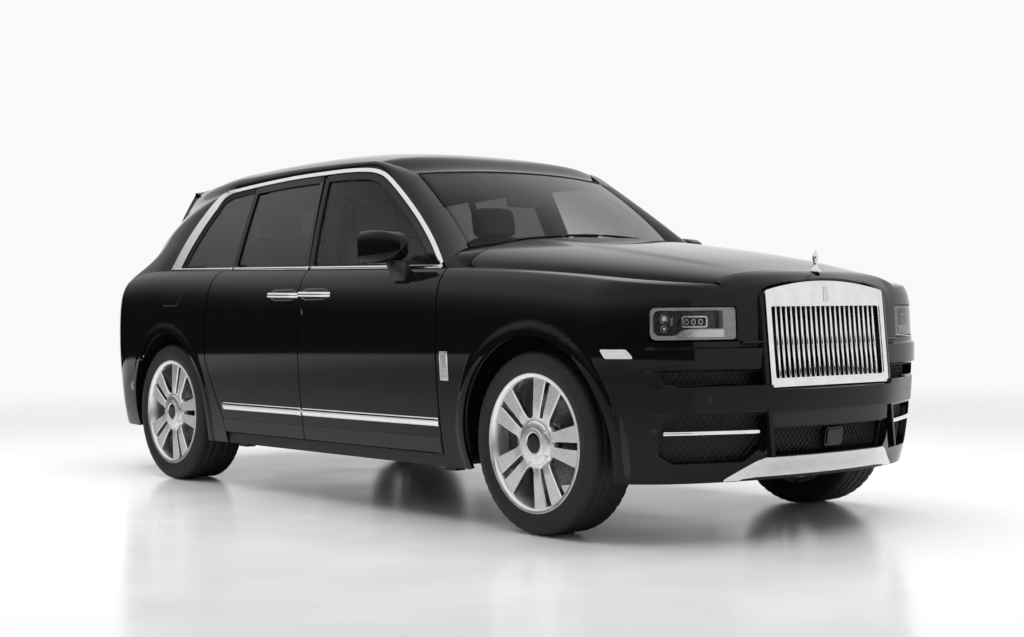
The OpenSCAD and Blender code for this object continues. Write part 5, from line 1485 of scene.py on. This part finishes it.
for side, y in (("left", 425), ("right", -425), ("middle", 0)):
    w, seams = (252, (-100, 100)) if y else (160, ())
    cushion(f"rear_cushion_{side}", (REAR_X + 262, y, CUSH - 32), (268, w, 56), -2, seams, (40,), 8 if y else 0)
    bx, bz = leaning(REAR_X + 78, CUSH + 8, 310, 22)
    cushion(f"rear_backrest_{side}", (bx, y, bz), (300, w, 50), -68, seams, (-110, 0, 110))
    if y:
        cushion(f"rear_headrest_{side}", (REAR_X - 205, y, CUSH + 676), (80, 136, 40), -80, (), (-26,))
        headrest_posts(k, REAR_X - 188, y, CUSH + 530, CUSH + 640)
k.make("rear_seat_frame", TRIM_DARK, nodes=["rear_seat"], edge=3)

# steering wheel
RAKE, WHEEL_R, GRIP_R = math.radians(24), 175, 15
wc = np.array([XF - 1215, 400.0, 1195.0])
ex, ez = np.array([math.sin(RAKE), 0, math.cos(RAKE)]), np.array([-math.cos(RAKE), 0, math.sin(RAKE)])
ey = np.array([0, 1.0, 0])


def on_wheel(a, b, out):
    """Place in the steering wheel's plane, out towards the driver."""
    return wc + np.asarray(a)[:, None] * ex + np.asarray(b)[:, None] * ey + out * ez


th = np.linspace(0, 2 * np.pi, 72, endpoint=False)
k = Kit()
k.tube([on_wheel((WHEEL_R + GRIP_R * math.cos(q)) * np.cos(th), (WHEEL_R + GRIP_R * math.cos(q)) * np.sin(th),
                 GRIP_R * math.sin(q)) for q in np.linspace(0, 2 * np.pi, 18, endpoint=False)], joined=True)
for ang, w in ((math.pi / 2, 22), (-math.pi / 2, 22), (math.pi, 18)):
    d = math.cos(ang) * ex + math.sin(ang) * ey
    across = np.cross(ez, d) * w * np.array([1.4, 0.9, 1.0])[:, None]
    spoke = wc + np.array([40.0, 100.0, 168.0])[:, None] * d
    k.tube([spoke + s * across + h * ez for s, h in ((-1, -6), (-1, 4), (1, 4), (1, -6))], slot=1)
k.slab(on_wheel, oval(0, 0, 62, 66, 48, 2.6), 16, -24)
k.slab(on_wheel, oval(0, 0, 34, 34, 24), -20, -272)
k.make("steering_wheel_rim", [TRIM_DARK, SATIN], nodes=["steering_wheel"], edge=3)

# dash dressing, mirror on the screen and roof lining
k = Kit()
ys = np.linspace(-556, 556, 40)
k.tube([xyz(XF - x, ys, z - 18 * (ys / 556) ** 6) for x, z in
        ((772, 1222), (800, 1240), (870, 1249), (950, 1234), (990, 1196), (984, 1150), (800, 1150))])
yh = np.linspace(235, 565, 24)
k.tube([xyz(XF - x, yh, z - 30 * ((yh - 400) / 165) ** 4) for x, z in
        ((800, 1236), (880, 1282), (970, 1284), (1004, 1266), (985, 1236))])
w = np.linspace(-0.9, 0.9, 40)
k.add(np.stack([screen_foot(w) + np.array([-52, 0, -48]), screen_foot(w) * [1, 0.93, 1] + np.array([-100, 0, -62]),
                xyz(XF - 840, 556 * w / 0.9, 1244 - 20 * w ** 6)]), grid_faces(3, 40))
k.make("dash_pad", LEATHER)


def on_dash(y, z, x):
    return xyz(XF - x, y, z)


k = Kit()
for y0, y1, z0, z1 in ((-190, 190, 1092, 1196), (262, 538, 1120, 1226)):
    k.slab(on_dash, block(y0, y1, z0, z1, 10), 1002, 950)
for y in (-500, -300, 225):
    k.slab(on_dash, oval(y, 1130, 34, 34), 992, 940)
k.make("dash_displays", GLOSS, edge=2)
k = Kit()
c = screen_point(np.array(0.0), np.array(0.86)) + np.array([-70, 0, -105])
q = block(-118, 118, -32, 32, 24, 8)
k.plate(c + xyz(0, q[:, 0], q[:, 1]), c + xyz(-24, q[:, 0] * 0.94, q[:, 1] * 0.9))
pod = screen_point(np.array(0.0), np.array(0.93))
q = block(-60, 60, -60, 60, 18, 6)
k.plate(pod + xyz(-14 - q[:, 1] * 0.62, q[:, 0], -12 + q[:, 1] * 0.5),
        pod + xyz(-44 - q[:, 1] * 0.62, q[:, 0] * 0.8, -44 + q[:, 1] * 0.4))
k.make("cabin_mirror", TRIM_DARK, edge=4, segments=3)
k = Kit().grid(lambda v, w: roof_surf(v, w) - np.array([0, 0, 34.0]), np.linspace(0.04, 0.98, 24),
               np.linspace(-0.9, 0.9, 24))
xs = np.linspace(XR + 240, XF - 1350, 60)
order = np.argsort(DLO[:, 0])
rail = np.interp(xs, DLO[order, 0], DLO[order, 1])
rows = [xyz(xs, 0.78 * roof_half(xs), roof_z(xs, 0.78) - 42),
        xyz(xs, ROOF_EDGE * roof_half(xs) - 30, roof_z(xs, ROOF_EDGE) - 62),
        on_side(xs, rail - 16, 62), on_side(xs, rail - 44, 44)]
for flip in (1, -1):
    k.add(np.stack(rows) * [1, flip, 1], grid_faces(4, 60))
k.make("roof_lining", LINING)

# wheel houses
for name, cx, r, inner in (("front", XF, 520.0, 470.0), ("rear", XR, 486.0, 600.0)):
    t = np.radians(np.linspace(-14, 194, 60))
    x, z = cx + r * np.cos(t), TYRE_R + r * np.sin(t)
    edge = plan_half(x) - side_inset(x, z) - 30

    def arc(radius, y):
        return xyz(cx + radius * np.cos(t), y + np.zeros(60), TYRE_R + radius * np.sin(t))

    k = Kit().tube([arc(110, inner), arc(r, inner), arc(r, edge), arc(466, edge + 8), arc(r + 5, edge),
                    arc(r + 5, inner - 5), arc(110, inner - 5)])
    k.mirror().make(f"{name}_wheel_houses", DARK)

# wipers
SCREEN_OUT = (0.6, 0, 0.8)
k = Kit()
for w0, w1, pivot in ((-0.66, 0.02, -0.30), (0.06, 0.74, 0.42)):
    p = screen_point(np.linspace(w0, w1, 24), np.zeros(24)) + np.array([9, 0, 3])
    k.tube(swept(p, SCREEN_OUT, [(-5, -4), (-3, 7), (3, 7), (5, -4)]))
    a = screen_foot(np.array(pivot)) + np.array([26, 0, -16])
    b = screen_point(np.array((w0 + w1) / 2), np.array(0.0)) + np.array([12, 0, 8])
    k.tube(swept(np.linspace(a, b, 8), SCREEN_OUT, [(-8, -3), (-6, 6), (6, 6), (8, -3)]))
k.make("wipers", DARK, edge=1)

# tail lamps
T0, T1 = float(rear_angle(733)), float(rear_angle(842))


def on_tail(a, z, d):
    return body(u_rear(a), z, d)


k = Kit()
across, upward = np.linspace(T0, T1, 16), np.linspace(791, 1065, 30)
k.grid(lambda a, z: on_tail(a, z, 1 - 2.5 * np.sin(np.pi * (a - T0) / (T1 - T0)) ** 0.6), across, upward)
k.grid(lambda a, z: on_tail(a, z, 22), across, upward, 1)
k.mirror().make("tail_lamp_lenses", [RED, LAMP_DARK], nodes=["tail_lamps"])
k = Kit()
for i in range(3):
    a0, a1 = (mix(T0, T1, f + 0.27 * i) for f in (0.12, 0.30))
    k.grid(lambda a, z: on_tail(a, z, -2.5 - 3.0 * np.sin(np.pi * (a - a0) / (a1 - a0))), np.linspace(a0, a1, 5),
           np.linspace(812, 1044, 20))
k.mirror().make("tail_lamp_bars", RED)


# tail trim
def tail_sheet(name, poly, out, thick, mat, ride, step=12, both=False):
    sheet(name, poly, lambda y, z: tail_face(y, z, out), thick, mat, ride, step, both=both)


tail_sheet("tail_plate_panel", block(-330, 330, 780, 930, 14), 2.5, 8, GLOSS, "tailgate_base")
tail_sheet("blank_plate", block(-260, 260, 798, 908, 8), 5, 5, PLATE, "tailgate_base")
tail_sheet("tail_bright_bar", block(-330, 330, 950, 976, 8), 7, 12, CHROME, "tailgate_base", step=9)
tail_sheet("tail_reflectors", block(560, 780, 500, 522, 8), 3, 7, RED, "body_shell", step=7, both=True)
tail_sheet("rear_skid", rounded([[-400, 300], [400, 300], [440, 340], [-440, 340]], 8), 5, 10, POLISHED, "body_shell",
           step=10)
ring0 = ring_of(rounded(EXHAUST, 16, 5), 80)
ring1 = ring0.mean(0) + (ring0 - ring0.mean(0)) * np.array([0.9, 0.76])
k = Kit().band(tail_face, [(ring0, -14), (ring0, 5), (ring1, 5), (ring1, -40)])
back = tail_face(*ring1.T, -38)
k.plate(back, back + np.array([6.0, 0, 0]), slot=1)
k.mirror().make("exhaust_finishers", [CHROME, DARK], edge=2)
p = tail_edge(np.full(60, 1148.0), np.linspace(-0.86, 0.86, 60)) + np.array([-5.0, 0, 3.0])
Kit().tube(swept(p, (-0.6, 0, 0.8), [(-7, -4), (-6, 4), (0, 6), (6, 4), (7, -4)])).make("tail_waist_bar", CHROME,
                                                                                       "tailgate_top")

# fins beside the rear window, under the spoiler's ends
z = np.linspace(1698, 1466, 30)
base = tail_edge(z, np.array(1.0))
reach = np.interp(z, [1466, 1534, 1600, 1650, 1698], [-6.0, 24.0, 50.0, 68.0, 82.0])
Kit().tube([base + xyz(14, -4, 0), base + xyz(-reach, -4, 0), base + xyz(-reach + 4, -16, 0), base + xyz(14, -34, 0)]
           ).mirror().make("spoiler_fins", PAINT, "tailgate_top", edge=2)

# look of the CAD nodes that stay
KEEP_LOOK = {"floor_pan": DARK, "front_structure": STEEL, "grille": CHROME, "headlamps": SATIN, "intake_meshes": DARK,
             "cowl": DARK, "tail_lamps": DARK, "window_trim": CHROME, "engine_block": STEEL, "front_suspension": STEEL,
             "rear_suspension": STEEL, "dashboard": TRIM_DARK, "centre_console": TRIM_DARK, "front_seats": LEATHER,
             "rear_seat": LEATHER, "steering_wheel": TRIM_DARK, "ornament": CHROME, "knuckle_left": STEEL,
             "knuckle_right": STEEL}
for name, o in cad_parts.items():
    other = CHROME if name.startswith("wheel") else RUBBER if name.startswith("tyre") else PAINT
    o.data.materials.clear()
    o.data.materials.append(KEEP_LOOK.get(name, other))


# studio
def fade(mat, near, far, upright=False):
    """Lets a stage surface fade out: with distance from the car, or with height."""
    nt = mat.node_tree
    tc = nt.nodes.new("ShaderNodeTexCoord")
    measure = nt.nodes.new("ShaderNodeSeparateXYZ" if upright else "ShaderNodeVectorMath")
    if not upright:
        measure.operation = "LENGTH"
    r = nt.nodes.new("ShaderNodeMapRange")
    r.interpolation_type = "SMOOTHSTEP"
    r.inputs["From Min"].default_value, r.inputs["From Max"].default_value = near, far
    r.inputs["To Min"].default_value, r.inputs["To Max"].default_value = 1.0, 0.0
    nt.links.new(tc.outputs["Object"], measure.inputs[0])
    nt.links.new(measure.outputs["Z" if upright else "Value"], r.inputs["Value"])
    nt.links.new(r.outputs["Result"], nt.nodes["Principled BSDF"].inputs["Alpha"])
    return mat


FLOOR = fade(surface("studio_floor", (0.80, 0.80, 0.795), (0.82, 0.82, 0.815), (0.16, 0.22), scale=2.0, spec=0.35),
             4.5, 13.0)
FLAG = fade(surface("dark_flag", (0.004, 0.004, 0.004), (0.008, 0.008, 0.008), (0.8, 0.9), scale=2.0, spec=0.0),
            1.5, 8.0, upright=True)
FLOOR_HALF, FLAG_R, FLAG_N = 30000.0, 15000.0, 80
add_mesh("studio_floor", xyz(*(FLOOR_HALF * np.array([[-1, 1, 1, -1], [-1, -1, 1, 1]])), -1.0), [(0, 1, 2, 3)],
                  FLOOR, smooth=False)
# dark flag round the near side, seen by reflections only
ang = np.radians(np.linspace(-188, -8, FLAG_N))
ring = [xyz(FLAG_R * np.cos(ang), FLAG_R * np.sin(ang), z) for z in (0.0, FLAG_R)]
flag = add_mesh("dark_flag", np.vstack(ring), grid_faces(2, FLAG_N), FLAG, smooth=False)
flag.visible_camera = flag.visible_diffuse = flag.visible_transmission = flag.visible_shadow = False

# world: a plain level of light, and a white background for the camera, for gloss and through glass
world = bpy.data.worlds.new("studio")
bpy.context.scene.world = world
world.use_nodes = True
wt = world.node_tree
wt.nodes.clear()
out = wt.nodes.new("ShaderNodeOutputWorld")
lit, seen = wt.nodes.new("ShaderNodeBackground"), wt.nodes.new("ShaderNodeBackground")
lit.inputs["Color"].default_value, lit.inputs["Strength"].default_value = (1, 1, 1, 1), 0.55
seen.inputs["Color"].default_value, seen.inputs["Strength"].default_value = (0.95, 0.95, 0.945, 1), 1.0
path = wt.nodes.new("ShaderNodeLightPath")
either = path.outputs["Is Camera Ray"]
for ray in ("Is Glossy Ray", "Is Transmission Ray"):
    most = wt.nodes.new("ShaderNodeMath")
    most.operation = "MAXIMUM"
    wt.links.new(either, most.inputs[0])
    wt.links.new(path.outputs[ray], most.inputs[1])
    either = most.outputs[0]
mixer = wt.nodes.new("ShaderNodeMixShader")
wt.links.new(either, mixer.inputs["Fac"])
wt.links.new(lit.outputs[0], mixer.inputs[1])
wt.links.new(seen.outputs[0], mixer.inputs[2])
wt.links.new(mixer.outputs[0], out.inputs["Surface"])

# one broad lamp overhead, which glossy surfaces don't mirror
lamp = bpy.data.lights.new("overhead", "AREA")
lamp.shape, lamp.size, lamp.size_y, lamp.energy = "RECTANGLE", 9, 6, 520
overhead = bpy.data.objects.new("overhead", lamp)
overhead.location = (0.2, -0.3, 5.2)
overhead.rotation_euler = (-Vector(overhead.location)).to_track_quat("-Z", "Y").to_euler()
overhead.visible_glossy = False
bpy.context.scene.collection.objects.link(overhead)

# camera at the photograph's place
CAMERA_AT, CAMERA_TURN = (7.0311, -5.3331, 0.9545), (50.789, 0.228, -0.622)
cam = bpy.data.cameras.new("photo_camera")
cam.sensor_fit, cam.sensor_width, cam.lens, cam.clip_end = "HORIZONTAL", 36.0, 56.36, 200
camera = bpy.data.objects.new("photo_camera", cam)
bpy.context.scene.collection.objects.link(camera)
az, el, roll = (math.radians(a) for a in CAMERA_TURN)
right = Vector((math.cos(az), math.sin(az), 0))
back = Vector((math.sin(az) * math.cos(el), -math.cos(az) * math.cos(el), math.sin(el)))
up = back.cross(right)
turn = Matrix((right * math.cos(roll) + up * math.sin(roll), up * math.cos(roll) - right * math.sin(roll), back))
camera.matrix_world = Matrix.Translation(CAMERA_AT) @ turn.transposed().to_4x4()
bpy.context.scene.camera = camera
bpy.context.scene.view_settings.view_transform = "Standard"
